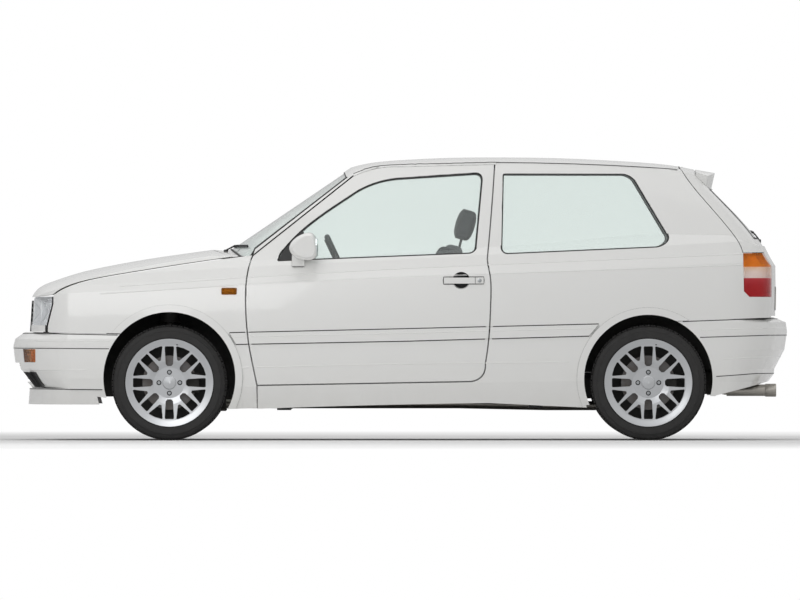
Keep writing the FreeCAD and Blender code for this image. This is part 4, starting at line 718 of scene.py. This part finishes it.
SIDEWALL = ((0.2153, 0.0905), (0.2276, 0.0932), (0.2312, 0.0985), (0.2345, 0.1004), (0.2385, 0.0994),
            (0.251, 0.1022), (0.2632, 0.1012), (0.264, 0.1022), (0.266, 0.1022), (0.2668, 0.1006),
            (0.277, 0.0966), (0.286, 0.092), (0.2903, 0.0868))
section = list(SIDEWALL) + [(r, -h) for r, h in reversed(SIDEWALL)] + [SIDEWALL[0]]
HALF_TRACK = 0.715
AXLE_HEIGHT = 0.298
SLANT = 0.3
AXLES = (("front", -1.193), ("rear", 1.282))
corners = {f"{end}_{hand}": (x, side) for end, x in AXLES for side, hand in SIDES}
for corner, (x, side) in corners.items():
    centre = Vector((x, side * HALF_TRACK, AXLE_HEIGHT))
    carcass = piece(f"tyre_carcass_{corner}", turned(section, 96, centre, (0, side, 0)), f"wheel_{corner}",
                    "tyre_rubber", tyre_black, 50)
    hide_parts(f"tyre_{corner}")
    blocks = united([block((0, y, -0.0135), (0.0087, y + 0.0118, 0.0135)) for y in (-0.0124, 0.0006)])
    for vert in blocks.vertices:
        vert.co.y += vert.co.z * SLANT
    onto = Matrix.Translation(centre) @ Matrix.Rotation(math.radians(90), 4, "X")
    grown(f"tyre_tread_{corner}", blocks, treads, f"wheel_{corner}", "tyre_rubber", tyre_black, onto)

# Wheels: one-piece cast alloy, silver lacquered over a light satin, with four plated hexagon
# bolts, each in a black disc that is painted shade for its counterbore, a ringed centre cap
# and a rubber valve. Behind each disc of turned iron stands a pressed dust shield, drawn wider
# than a real one so that its dark face paints the shade in the wheel's openings. The lacquer's
# flake is far under 1 mm, drawn at 1.1.
alloy, tree, shader = material("silver_lacquered_alloy", Metallic=0.75, Coat_Weight=0.4)
place, _ = mottled(tree, shader, "#b4b6b9", "#c6c8ca", 142.9, 4.0)
flake = add(tree, "ShaderNodeTexNoise", {"Scale": per_metre(1.111), "Detail": 1.0}, {"Vector": place})
sheen = add(tree, "ShaderNodeMapRange", {"To Min": 0.28, "To Max": 0.42}, {"Value": flake.outputs["Fac"]})
tree.links.new(sheen.outputs[0], shader.inputs["Roughness"])
# Barrel-plated zinc: a cool, bright grey with a faint wash of dull spots.
zinc, tree, shader = material("bright_zinc_plate", Base_Color=linear("#a9acae"), Metallic=1.0)
place = add(tree, "ShaderNodeTexCoord", {}, {}).outputs["Object"]
wash = add(tree, "ShaderNodeTexNoise", {"Scale": per_metre(16.667), "Detail": 3.0}, {"Vector": place})
sheen = add(tree, "ShaderNodeMapRange", {"To Min": 0.2, "To Max": 0.45}, {"Value": wash.outputs["Fac"]})
tree.links.new(sheen.outputs[0], shader.inputs["Roughness"])
# Iron turned on a lathe: mid grey, clouded with a dull brown where it has weathered.
iron, tree, shader = material("turned_grey_iron", Metallic=0.9, Roughness=0.38)
mottled(tree, shader, "#77787a", "#5e554e", 28.57, 6.0)
HUB_FACE = HALF_TRACK + 0.0785
BOLT_CIRCLE = 0.054
VALVE_CIRCLE, VALVE_TURN = 0.2, 0.2
SHIELD = ((0.085, 0.0), (0.19, 0.0), (0.194, 0.006), (0.1955, 0.006), (0.1915, -0.0015), (0.085, -0.0015),
          (0.085, 0.0))
for corner, (x, side) in corners.items():
    wear(nodes[f"rim_{corner}"], alloy)
    wear(nodes[f"brake_disc_{corner}"], iron)
    out = (0, side, 0)
    bore_shade_ring_and_valve = []
    bolts = []
    for k in range(4):
        turn_angle = math.radians(90 * k)
        spot = Vector((x + BOLT_CIRCLE * math.cos(turn_angle), side * HUB_FACE,
                       AXLE_HEIGHT + BOLT_CIRCLE * math.sin(turn_angle)))
        # Painted shade: a flat black disc round each bolt stands for the shade in its counterbore.
        bore_shade_ring_and_valve.append(turned([(0, 0.0004), (0.0125, 0.0004), (0.0138, -0.0006)], 24, spot, out))
        bolts.append(turned([(0, 0.006), (0.0074, 0.006), (0.0086, 0.0048), (0.0086, 0.0)], 6, spot, out))
    # Partly painted shade: the shield is drawn wider than a real one, so that its dark face fills the wheel's
    # openings where shade falls.
    shield = turned(SHIELD, 48, (x, side * 0.699, AXLE_HEIGHT), out)
    carrier = corner.replace("front_", "") + "_knuckle" if x < 0 else "shell"
    piece(f"dust_shield_and_shade_{corner}", shield, carrier, "steel_parts", underseal)
    hub = Vector((x, side * HUB_FACE, AXLE_HEIGHT))
    bore_shade_ring_and_valve.append(turned([(0.0335, -0.001), (0.0335, 0.001), (0.0352, 0.001), (0.0352, -0.001)], 40, hub, out))
    valve = Vector((x + VALVE_CIRCLE * math.sin(VALVE_TURN), side * (HALF_TRACK + 0.086),
                    AXLE_HEIGHT + VALVE_CIRCLE * math.cos(VALVE_TURN)))
    bore_shade_ring_and_valve.append(turned([(0, 0.012), (0.0032, 0.012), (0.0042, 0.006), (0.0055, -0.006)], 12, valve, out))
    piece(f"wheel_bore_shade_and_valve_{corner}", bore_shade_ring_and_valve, f"wheel_{corner}", "tyre_rubber", moulded_black)
    piece(f"wheel_bolts_{corner}", bolts, f"wheel_{corner}", "wheel_alloy", zinc, 25)

# Door furniture: a black finger cup, which is painted shade for each handle's recess, and a
# gasket round each handle bar, plated key lock, black sail patch that carries the mirror,
# silvered mirror glass, an amber repeater on each fender, and a painted cover over the upper
# hinge.
# Amber lens with 5 mm ribs, and glass silvered at its back, which mirrors without a tint.
amber = ribbed_lens("amber_repeater_lens", "X", 0.005, [(0.0, "#e58a16")])
silvered, tree, shader = material("silvered_mirror_glass", Base_Color=linear("#dfe5e6"), Metallic=1.0)
smear = add(tree, "ShaderNodeTexNoise", {"Scale": 12.0}, {})
sheen = add(tree, "ShaderNodeMapRange", {"To Min": 0.0, "To Max": 0.05}, {"Value": smear.outputs["Fac"]})
tree.links.new(sheen.outputs[0], shader.inputs["Roughness"])


def patch(panel, outline, side, lift, thickness):
    upper = [at_side(panel, x, z, side) + Vector((0, side * lift, 0)) for x, z in outline]
    return lofted([upper, [spot - Vector((0, side * thickness, 0)) for spot in upper]])


HANDLE_X, HANDLE_Z = 0.315, 0.8285
HANDLE_FRAME = ((0.2245, 0.806), (0.4305, 0.8075), (0.4335, 0.826), (0.4305, 0.8455), (0.2245, 0.8445),
                (0.2215, 0.825), (0.2245, 0.806))
BAR_SPLIT_X = 0.3875
COVER_FOOT, COVER_HEIGHT = 0.7395, 0.051
SAIL = ((-0.627, 0.93), (-0.6, 0.986), (-0.55, 1.043), (-0.506, 1.086), (-0.487, 1.03), (-0.478, 0.933))
for side, hand in SIDES:
    # Painted shade: the dark cup lines the handle's recess where shade falls.
    recess_shade = [(0.0458 * math.sin(math.radians(t)), 0.0458 * math.cos(math.radians(t))) for t in range(0, 70, 6)]
    door_skin = surface(f"door_{hand}")
    dark = [turned(recess_shade, 32, (HANDLE_X, side * 0.834, HANDLE_Z), (0, -side, 0)),
            patch(surface(f"door_glass_{hand}"), SAIL, side, 0.004, 0.005),
            tube([at_side(door_skin, *spot, side) for spot in stations(HANDLE_FRAME, 0.012)[:-1]], 0.0016,
                 True),
            tube([(BAR_SPLIT_X, side * 0.836, z) for z in (0.8095, 0.8425)], 0.0012)]
    piece(f"handle_recess_shade_and_sail_{hand}", dark, f"{hand}_door", "dark_grille", moulded_black)
    sheets = [[], []]
    for sheet, depth in zip(sheets, (-0.0004, 0.0012)):
        for i in range(7):
            share = i / 6
            row = []
            for x in (-0.7935, -0.779, -0.764, -0.749):
                foot, head = (abs(at_side(door_skin, x, z, side).y)
                              for z in (COVER_FOOT, COVER_FOOT + COVER_HEIGHT))
                y = foot * (1 - share) + head * share + 0.0016 * share * (1 - share)
                row.append((x, side * (y - depth), COVER_FOOT + COVER_HEIGHT * share))
            sheet.append(row)
    piece(f"hinge_cover_{hand}", skin_of(sheets), "shell", "body_paint", enamel)
    hit = at_side(door_skin, 0.41, 0.826, side)
    lock = [(0, 0.002), (0.0085, 0.002), (0.0105, 0.0012), (0.0105, -0.004)]
    piece(f"key_lock_{hand}", turned(lock, 24, hit, (0, side, 0)), f"{hand}_door", "steel_parts", zinc)
    back = surface(f"mirror_{hand}").ray_cast(Vector((0.5, side * 0.835, 1.0)), Vector((-1, 0, 0)))[0]
    rim = [(0, 0.0022), (0.047, 0.0022), (0.049, 0.0008), (0.049, -0.012), (0, -0.012)]
    piece(f"mirror_glass_{hand}", turned(rim, 40, back, (1, 0, 0), (0.94, 1.12)), f"{hand}_door",
          "mirror_glass", silvered)
    panel = surface(f"fender_{hand}")
    skin_y = at_side(panel, -0.884, 0.77, side).y
    near, far = sorted((skin_y - side * 0.004, skin_y + side * 0.007))
    piece(f"side_repeater_{hand}", block((-0.924, near, 0.753), (-0.845, far, 0.788), 0.005), "shell",
          "amber_lens", amber)

# Wipers: black arms on splined spindles, each with a sprung blade that lies on the glass.
# The blade's foot stands 5 mm off the pane, and its frame and the arm 6 to 7 mm further out.
def wiper(name, pane, blade_line, pivot, way, body):
    glass = surface(pane)
    way, pivot = Vector(way), Vector(pivot)
    blade = []
    for spot in stations(blade_line, 0.03):
        hit, normal = glass.ray_cast(Vector(spot), way)[:2]
        if hit:
            blade.append(hit - normal * 0.005 * math.copysign(1, normal.dot(way)))
    lifted = [spot - way * 0.007 for spot in blade]
    middle = lifted[len(lifted) // 2]
    arm = [pivot, pivot - way * 0.006, (pivot + middle * 2) / 3 - way * 0.006, middle]
    boss = turned([(0, 0.009), (0.009, 0.009), (0.011, 0.006), (0.011, -0.01)], 20, pivot, -way)
    piece(name, [tube(blade, 0.0042), tube(lifted, 0.003), tube(arm, 0.0045), boss], body, "dark_grille",
          moulded_black)


def along_screen(y0, y1):
    return [(-0.86 + 0.22 * (y0 + (y1 - y0) * k / 8) ** 2, y0 + (y1 - y0) * k / 8, 2.0) for k in range(9)]


wiper("driver_wiper", "windscreen", along_screen(-0.58, -0.08), (-0.905, -0.3, 0.977), (0, 0, -1), "shell")
wiper("passenger_wiper", "windscreen", along_screen(0.0, 0.5), (-0.905, 0.22, 0.979), (0, 0, -1), "shell")
wiper("rear_wiper", "tailgate_glass", [(3.0, 0.02, 1.075), (3.0, 0.4, 1.085)], (1.866, 0.0, 1.03), (-1, 0, 0),
      "tail_lid")

# Rear plate and tail pipe: a blank reflective sheet in a black holder, pressed to the
# tailgate's curve, and a rolled tip on the exhaust. The sheet is off-white and semi-gloss.
sheeting, tree, shader = material("blank_reflective_sheet", Base_Color=linear("#eceae2"), Roughness=0.35)
cell = add(tree, "ShaderNodeTexVoronoi", {"Scale": 600.0}, {})
bump = add(tree, "ShaderNodeBump", {"Strength": 0.1, "Distance": 0.0004},
           {"Height": cell.outputs["Distance"]})
tree.links.new(bump.outputs["Normal"], shader.inputs["Normal"])
lid = surface("tailgate")


def on_lid(half_width, low, high, lift, depth):
    rings = []
    for y in (-half_width, -half_width / 2, 0, half_width / 2, half_width):
        foot, head = (lid.ray_cast(Vector((3, y, z)), Vector((-1, 0, 0)))[0] + Vector((lift, 0, 0))
                      for z in (low, high))
        rings.append((foot, head, head - Vector((depth, 0, 0)), foot - Vector((depth, 0, 0))))
    return lofted(rings)


piece("rear_plate_holder", on_lid(0.267, 0.672, 0.794, 0.002, 0.006), "tail_lid", "dark_grille",
      moulded_black)
piece("rear_plate", on_lid(0.26, 0.679, 0.787, 0.0035, 0.003), "tail_lid", "body_paint", sheeting)
tip = [(0.0305, -0.05), (0.0335, -0.045), (0.034, 0.006), (0.031, 0.009), (0.029, 0.004), (0.0285, 0.0008),
       (0.0305, -0.05)]
PIPE_END = (1.938, -0.48, 0.258)
piece("exhaust_tip", turned(tip, 40, PIPE_END, (1, 0, 0)), "shell", "exhaust_steel", stainless)
# A black disc 1 mm inside the tip darkens the bore: soot, together with painted shade for the pipe's inside.
piece("exhaust_bore", turned([(0, 0.001), (0.0295, 0.001)], 40, PIPE_END, (1, 0, 0)), "shell", "dark_grille",
      moulded_black)

# Seats: moulded foam under woven cloth, crowned and drawn in at sewn channels, with piped
# edges and darker knitted bolsters, on painted steel runners. The threads, 1 mm in the real
# cloth, are drawn 3 to 4 mm apart to show.
def woven(name, dark, light, pitch):
    made, tree, shader = material(name, Roughness=0.92, Sheen_Weight=0.3)
    place = add(tree, "ShaderNodeTexCoord", {}, {}).outputs["Object"]
    warp = add(tree, "ShaderNodeTexWave", {"bands_direction": "Y", "Scale": 0.314 / pitch}, {"Vector": place})
    weft = add(tree, "ShaderNodeTexWave", {"bands_direction": "DIAGONAL", "Scale": 0.314 / pitch},
               {"Vector": place})
    both = add(tree, "ShaderNodeMath", {"operation": "MULTIPLY"},
               {0: warp.outputs["Fac"], 1: weft.outputs["Fac"]})
    fleck = add(tree, "ShaderNodeTexNoise", {"Scale": 60.0, "Detail": 3.0}, {"Vector": place})
    blend = add(tree, "ShaderNodeMath", {"operation": "MULTIPLY"},
                {0: both.outputs[0], 1: fleck.outputs["Fac"]})
    shade = add(tree, "ShaderNodeMix", {"data_type": "RGBA", 6: linear(dark), 7: linear(light)},
                {0: blend.outputs[0]})
    tree.links.new(shade.outputs[2], shader.inputs["Base Color"])
    bump = add(tree, "ShaderNodeBump", {"Strength": 0.4, "Distance": 0.0008}, {"Height": both.outputs[0]})
    tree.links.new(bump.outputs["Normal"], shader.inputs["Normal"])
    return made


# Both cloths are matt, with a light nap: a mid-grey weave, and a darker knit at the sides.
seat_cloth = woven("woven_seat_cloth", "#4b4e54", "#8b8f96", 0.004)
bolster_cloth = woven("knitted_bolster_cloth", "#2d2f33", "#55585e", 0.003)


PAD_POWER = 5


def pad_form(half, place, crown=0.012, channels=0, fall=0.007, power=PAD_POWER):
    grid = bmesh.new()
    bmesh.ops.create_cube(grid, size=2)
    bmesh.ops.subdivide_edges(grid, edges=grid.edges[:], cuts=19, use_grid_fill=True)
    for vert in grid.verts:
        u, v, w = vert.co
        reach = (abs(u) ** power + abs(v) ** power + abs(w) ** power) ** (-1 / power)
        u, v, w = u * reach, v * reach, w * reach
        swell = crown * max(0.0, 1 - u * u) * max(0.0, 1 - v * v)
        if channels and w > 0.3:
            near = abs((u * channels / 2 + 0.5) % 1 - 0.5)
            swell -= fall * math.exp(-(near / 0.07) ** 2) * max(0.0, 1 - v ** 4)
        vert.co = place @ Vector((u * half[0], v * half[1], w * half[2] + swell * math.copysign(1, w)))
    return meshed(grid)


PIPING_LEVEL = 0.72


def piping(half, place):
    rim = []
    for k in range(72):
        turn_angle = 2 * math.pi * k / 72
        u, v = math.cos(turn_angle), math.sin(turn_angle)
        across = abs(u) ** PAD_POWER + abs(v) ** PAD_POWER
        reach = ((1 - PIPING_LEVEL ** PAD_POWER) / across) ** (1 / PAD_POWER)
        rim.append(place @ Vector((u * reach * half[0], v * reach * half[1], PIPING_LEVEL * half[2])))
    return tube(rim, 0.0035, True)


def leaning(x, y, z, degrees):
    return Matrix.Translation((x, y, z)) @ Matrix.Rotation(math.radians(degrees), 4, "Y")


def cushion(name, half, place, made, channels, crown):
    form = piece(name, pad_form(half, place, crown, channels), "shell", "seat_cloth", made, 80)
    return form


BASE_HALF = (0.2, 0.17, 0.075)
BACK_HALF = (0.306, 0.155, 0.055)
HEAD_HALF = (0.078, 0.125, 0.04)
for side, hand in SIDES:
    y = side * 0.36
    base = leaning(-0.045, y, 0.362, 5)
    back = leaning(0.21, y, 0.711, -76)
    head = leaning(0.337, y, 1.115, -74)
    seat_base = cushion(f"front_seat_base_{hand}", BASE_HALF, base, seat_cloth, 4, 0.016)
    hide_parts("front_seats")
    cushion(f"front_seat_back_{hand}", BACK_HALF, back, seat_cloth, 5, 0.014)
    cushion(f"front_headrest_{hand}", HEAD_HALF, head, bolster_cloth, 0, 0.01)
    wings = []
    for edge in (-1, 1):
        wings.append(pad_form((0.205, 0.045, 0.088), base @ Matrix.Translation((0, edge * 0.2, 0.012)), 0.01))
        wings.append(pad_form((0.288, 0.042, 0.07), back @ Matrix.Translation((0, edge * 0.186, 0.022)), 0.01))
    piece(f"front_seat_bolsters_{hand}", wings, "shell", "seat_cloth", bolster_cloth, 80)
    trims = [piping(BASE_HALF, base), piping(BACK_HALF, back), piping(HEAD_HALF, head)]
    piece(f"front_seat_piping_{hand}", trims, "shell", "seat_cloth", bolster_cloth)
    frame_parts = [block((-0.2, rail - 0.015, 0.236), (0.19, rail + 0.015, 0.262), 0.003)
                   for rail in (y - 0.165, y + 0.165)]
    frame_parts.append(block((-0.2, y - 0.215, 0.262), (0.2, y + 0.215, 0.305), 0.012))
    frame_parts += [tube([(0.3, y + edge * 0.05, 0.97), (0.33, y + edge * 0.05, 1.09)], 0.006)
                    for edge in (-1, 1)]
    piece(f"front_seat_frame_{hand}", frame_parts, "shell", "steel_parts", chassis_black)
BENCH_HALF = (0.168, 0.53, 0.082)
BENCH_BACK_HALF = (0.245, 0.53, 0.056)
bench = leaning(0.93, 0, 0.465, 4)
bench_back = leaning(1.2, 0, 0.73, -73)
rear_base = cushion("rear_seat_base", BENCH_HALF, bench, seat_cloth, 3, 0.014)
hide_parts("rear_seat")
cushion("rear_seat_back", BENCH_BACK_HALF, bench_back, seat_cloth, 4, 0.014)
trims = [piping(BENCH_HALF, bench), piping(BENCH_BACK_HALF, bench_back)]
piece("rear_seat_piping", trims, "shell", "seat_cloth", bolster_cloth)

# Linings: needle-felt carpet pressed to the floor, brushed headlining under the roof, and
# vinyl-faced boards on the doors and rear quarters, each laid against the steel behind it.
# The felt is a flat charcoal, and the headlining a warm pale grey with a brushed nap.
felt = woven("needle_felt_carpet", "#242528", "#3c3d41", 0.0025)
headlining = woven("brushed_headlining", "#b9b7b1", "#d3d1cb", 0.003)
# Embossed vinyl: dark grey with a low, even sheen. Its 1 mm grain is drawn 2.2 mm wide.
vinyl, tree, shader = material("grained_trim_vinyl", Roughness=0.6)
place, _ = mottled(tree, shader, "#36383c", "#414347", 200, 3.0)
grain = add(tree, "ShaderNodeTexVoronoi", {"Scale": per_metre(2.222)}, {"Vector": place})
bump = add(tree, "ShaderNodeBump", {"Strength": 0.3, "Distance": 0.0006},
           {"Height": grain.outputs["Distance"]})
tree.links.new(bump.outputs["Normal"], shader.inputs["Normal"])
wear(nodes["dashboard"], vinyl)
wear(nodes["steering_wheel"], moulded_black)


DOWN, UP = (0, 0, -1), (0, 0, 1)


def lining(name, panel, corners, way, lift, body, slot, made, step=0.025, jump=0.05):
    (ax, ay, az), (bx, by, bz) = corners
    way = Vector(way)
    spans = [k for k in range(3) if abs(way[k]) < 0.5]
    low = Vector((ax, ay, az))
    size = Vector((bx - ax, by - ay, bz - az))
    counts = [max(2, round(size[k] / step)) for k in spans]
    grid = bmesh.new()
    found = {}
    for i in range(counts[0] + 1):
        for j in range(counts[1] + 1):
            from_here = low.copy()
            from_here[spans[0]] += size[spans[0]] * i / counts[0]
            from_here[spans[1]] += size[spans[1]] * j / counts[1]
            hit = panel.ray_cast(from_here, way)[0]
            if hit:
                found[i, j] = grid.verts.new(hit - way * lift)
    for i in range(counts[0]):
        for j in range(counts[1]):
            loop = [found.get(key) for key in ((i, j), (i + 1, j), (i + 1, j + 1), (i, j + 1))]
            if all(loop):
                depths = [vert.co.dot(way) for vert in loop]
                if max(depths) - min(depths) < jump:
                    grid.faces.new(loop)
    loose = [vert for vert in grid.verts if not vert.link_faces]
    bmesh.ops.delete(grid, geom=loose, context="VERTS")
    return piece(name, meshed(grid), body, slot, made, 60)


floor = surface("floor_pan")
lining("cabin_carpet", floor, ((-0.73, -0.59, 0.8), (0.76, 0.59, 0.8)), DOWN, 0.006, "shell", "carpet", felt,
       0.02, 0.13)
lining("boot_carpet", floor, ((1.24, -0.56, 0.8), (1.86, 0.56, 0.8)), DOWN, 0.006, "shell", "carpet", felt)
lining("headlining", surface("roof_panel"), ((-0.2, -0.52, 1.2), (1.4, 0.52, 1.2)), UP, 0.006, "shell",
       "seat_cloth", headlining)
for side, hand in SIDES:
    door_face = surface(f"door_{hand}")
    low_y = side * 0.45
    lining(f"door_board_{hand}", door_face, ((-0.66, low_y, 0.35), (0.4, low_y, 0.915)), (0, side, 0), 0.004,
           f"{hand}_door", "cabin_plastic", vinyl)
    quarter = surface(f"body_side_{hand}")
    lining(f"quarter_board_{hand}", quarter, ((0.5, low_y, 0.3), (1.32, low_y, 0.965)), (0, side, 0), 0.004,
           "shell", "cabin_plastic", vinyl)
    face_y = door_face.ray_cast(Vector((-0.1, low_y, 0.62)), Vector((0, side, 0)))[0].y
    near, far = sorted((face_y + side * 0.004, face_y - side * 0.055))
    pull = [(x, face_y - side * off, 0.72) for x, off in ((0.0, 0.02), (0.05, 0.035), (0.1, 0.02))]
    fittings = [block((-0.28, near, 0.585), (0.22, far, 0.64), 0.016), tube(pull, 0.008),
                turned([(0, 0.012), (0.07, 0.01), (0.078, 0.004), (0.078, -0.004)], 36, (-0.48, face_y, 0.45),
                       (0, -side, 0))]
    piece(f"door_fittings_{hand}", fittings, f"{hand}_door", "cabin_plastic", moulded_black)
piece("parcel_shelf", block((1.315, -0.5, 0.962), (1.6, 0.5, 0.976), 0.006), "shell", "carpet", felt)

# Controls: instrument hood with two blank dials, air vents, centre stack, gear lever in its
# gaiter, handbrake, pedals and the interior mirror, all moulded black or plated.
hood = pad_form((0.085, 0.19, 0.032), Matrix.Translation((-0.545, -0.36, 0.985)), 0.006, 0, 0, 4)
stack = [hood, block((-0.47, -0.105, 0.63), (-0.418, 0.105, 0.895), 0.012),
         block((-0.5, -0.095, 0.34), (-0.12, 0.095, 0.43), 0.02),
         block((-0.12, -0.07, 0.34), (0.12, 0.07, 0.38), 0.012)]
for y in (-0.555, -0.165, 0.165, 0.555):
    stack += [block((-0.445, y - 0.04, z), (-0.424, y + 0.04, z + 0.004), 0.001)
              for z in (0.835, 0.847, 0.859, 0.871)]
    stack.append(block((-0.45, y - 0.046, 0.83), (-0.432, y + 0.046, 0.881), 0.002))
stack.append(turned([(0, 0.1), (0.012, 0.1), (0.03, 0.03), (0.05, 0)], 24, (-0.32, 0, 0.425), (0, 0, 1)))
stack.append(turned([(0, 0.034), (0.016, 0.03), (0.022, 0.014), (0.014, 0)], 24, (-0.31, 0, 0.585), (0, 0, 1)))
stack += [tube([(-0.32, 0, 0.45), (-0.31, 0, 0.59)], 0.006),
          tube([(0.1, 0, 0.385), (0.02, 0, 0.43), (-0.13, 0, 0.47)], 0.012)]
for y in (-0.27, -0.36, -0.45):
    stack += [block((-0.655, y - 0.028, 0.32), (-0.64, y + 0.028, 0.39), 0.004),
              tube([(-0.65, y, 0.38), (-0.69, y, 0.57)], 0.006)]
stack += [tube([(-0.42, -0.36 + edge * 0.03, 0.845), (-0.4, -0.36 + edge * 0.17, 0.87)], 0.006)
          for edge in (-1, 1)]
piece("cabin_controls", stack, "shell", "cabin_plastic", moulded_black)
dials = []
for y in (-0.425, -0.295):
    dials.append(turned([(0.036, 0), (0.038, 0.003), (0.04, 0)], 40, (-0.459, y, 0.985), (1, 0, 0.15)))
    dials.append(tube([(-0.457, y, 0.985), (-0.457, y - 0.018, 1.0)], 0.0012))
dials += [turned([(0, 0.014), (0.011, 0.014), (0.013, 0)], 24, (-0.418, y, 0.7), (1, 0, 0))
          for y in (-0.06, 0, 0.06)]
piece("dial_rings_and_knobs", dials, "shell", "steel_parts", zinc)
glass_top = surface("windscreen").ray_cast(Vector((-0.36, 0, 2)), Vector((0, 0, -1)))[0]
stem = tube([(-0.36, 0, glass_top.z - 0.012), (-0.31, 0, glass_top.z - 0.05)], 0.006)
shell = pad_form((0.012, 0.12, 0.032), Matrix.Translation((-0.3, 0, glass_top.z - 0.065)), 0, 0, 0, 6)
piece("inside_mirror", [stem, shell], "shell", "cabin_plastic", moulded_black)

# Ground, light and camera: a pale studio floor that fades into a white surround, one big soft
# lamp each side and overhead, and the long lens of the side-on drawing. Reflections see the
# surround at 15 to 30 per cent near the horizon, so that the white roof's edge stays darker.
def shows_backdrop(tree, mirrored):
    ray = add(tree, "ShaderNodeLightPath", {}, {}).outputs
    gloss = add(tree, "ShaderNodeMath", {"operation": "MULTIPLY"}, {0: ray["Is Glossy Ray"], 1: mirrored})
    seen = add(tree, "ShaderNodeMath", {"operation": "MAXIMUM"}, {0: ray["Is Camera Ray"], 1: gloss.outputs[0]})
    return add(tree, "ShaderNodeMath", {"operation": "MAXIMUM"},
               {0: seen.outputs[0], 1: ray["Is Transmission Ray"]}).outputs[0]


# Painted board: pale and matt, so it takes the shadow and shows no reflection.
ground, tree, shader = material("pale_studio_floor", Base_Color=linear("#ececec"), Roughness=0.9)
place = add(tree, "ShaderNodeTexCoord", {}, {}).outputs["Object"]
distance = add(tree, "ShaderNodeVectorMath", {"operation": "LENGTH"}, {0: place}).outputs["Value"]
fade = add(tree, "ShaderNodeMapRange", {"From Min": 3.5, "From Max": 9.0}, {"Value": distance})
white = add(tree, "ShaderNodeEmission", {"Color": (1, 1, 1, 1), "Strength": 1.0}, {})
near = add(tree, "ShaderNodeMapRange", {"From Min": 9.0, "From Max": 60.0, "To Min": 0.3, "To Max": 0.15},
           {"Value": distance})
glow = add(tree, "ShaderNodeMath", {"operation": "MULTIPLY"},
           {0: fade.outputs[0], 1: shows_backdrop(tree, near.outputs[0])})
mixed = add(tree, "ShaderNodeMixShader", {}, {0: glow.outputs[0], 1: shader.outputs[0], 2: white.outputs[0]})
tree.links.new(mixed.outputs[0], tree.nodes["Material Output"].inputs["Surface"])
REACH = 60
plane = bpy.data.meshes.new("studio_floor")
plane.from_pydata([(-REACH, -REACH, 0), (REACH, -REACH, 0), (REACH, REACH, 0), (-REACH, REACH, 0)], [],
                  [(0, 1, 2, 3)])
studio_floor = placed("studio_floor", plane)
wear(studio_floor, ground)

world = bpy.data.worlds.new("white_surround")
bpy.context.scene.world = world
world.use_nodes = True
tree = world.node_tree
soft = tree.nodes["Background"]
soft.inputs["Color"].default_value = (1, 1, 1, 1)
soft.inputs["Strength"].default_value = 0.45
seen = add(tree, "ShaderNodeBackground", {"Color": (1, 1, 1, 1), "Strength": 1.0}, {})
place = add(tree, "ShaderNodeTexCoord", {}, {}).outputs["Generated"]
rise = add(tree, "ShaderNodeSeparateXYZ", {}, {"Vector": place}).outputs["Z"]
ceiling = add(tree, "ShaderNodeMapRange", {"From Max": 0.5, "To Min": 0.15}, {"Value": rise})
pick = add(tree, "ShaderNodeMixShader", {}, {0: shows_backdrop(tree, ceiling.outputs[0]), 1: soft.outputs[0],
                                             2: seen.outputs[0]})
tree.links.new(pick.outputs[0], tree.nodes["World Output"].inputs["Surface"])

for name, spot, aim, width, power in (
        ("overhead_softbox", (0.0, -0.5, 5.0), (0, 0, 0), 6.0, 60),
        ("left_softbox", (-2.5, -6.5, 3.6), (0, 0, 0.6), 4.0, 105),
        ("right_softbox", (2.5, 6.5, 3.6), (0, 0, 0.6), 4.0, 60),
        ("rear_softbox", (7.0, -1.0, 3.0), (0, 0, 0.6), 3.0, 22),
        ("front_softbox", (-7.0, 1.0, 3.0), (0, 0, 0.6), 3.0, 22)):
    light = bpy.data.lights.new(name, "AREA")
    light.size = width
    light.energy = power
    rig = placed(name, light)
    rig.visible_glossy = name in ("overhead_softbox", "left_softbox")
    rig.location = spot
    rig.rotation_euler = (Vector(aim) - Vector(spot)).to_track_quat("-Z", "Y").to_euler()

M_PER_PIXEL = 0.005169
FRAME_WIDTH, FRAME_MIDDLE, GROUND_ROW = 800, 300, 440.3
NEAR_SIDE_Y = -0.75
lens = bpy.data.cameras.new("drawing_view")
lens.lens = 1200
lens.sensor_width = 36
lens.clip_end = 1000
away = FRAME_WIDTH * M_PER_PIXEL * lens.lens / lens.sensor_width
camera = placed("drawing_view", lens)
camera.location = (-0.0013, NEAR_SIDE_Y - away, (GROUND_ROW - FRAME_MIDDLE) * M_PER_PIXEL)
camera.rotation_euler = (math.radians(90), 0, 0)
bpy.context.scene.camera = camera
bpy.context.scene.view_settings.view_transform = "Standard"
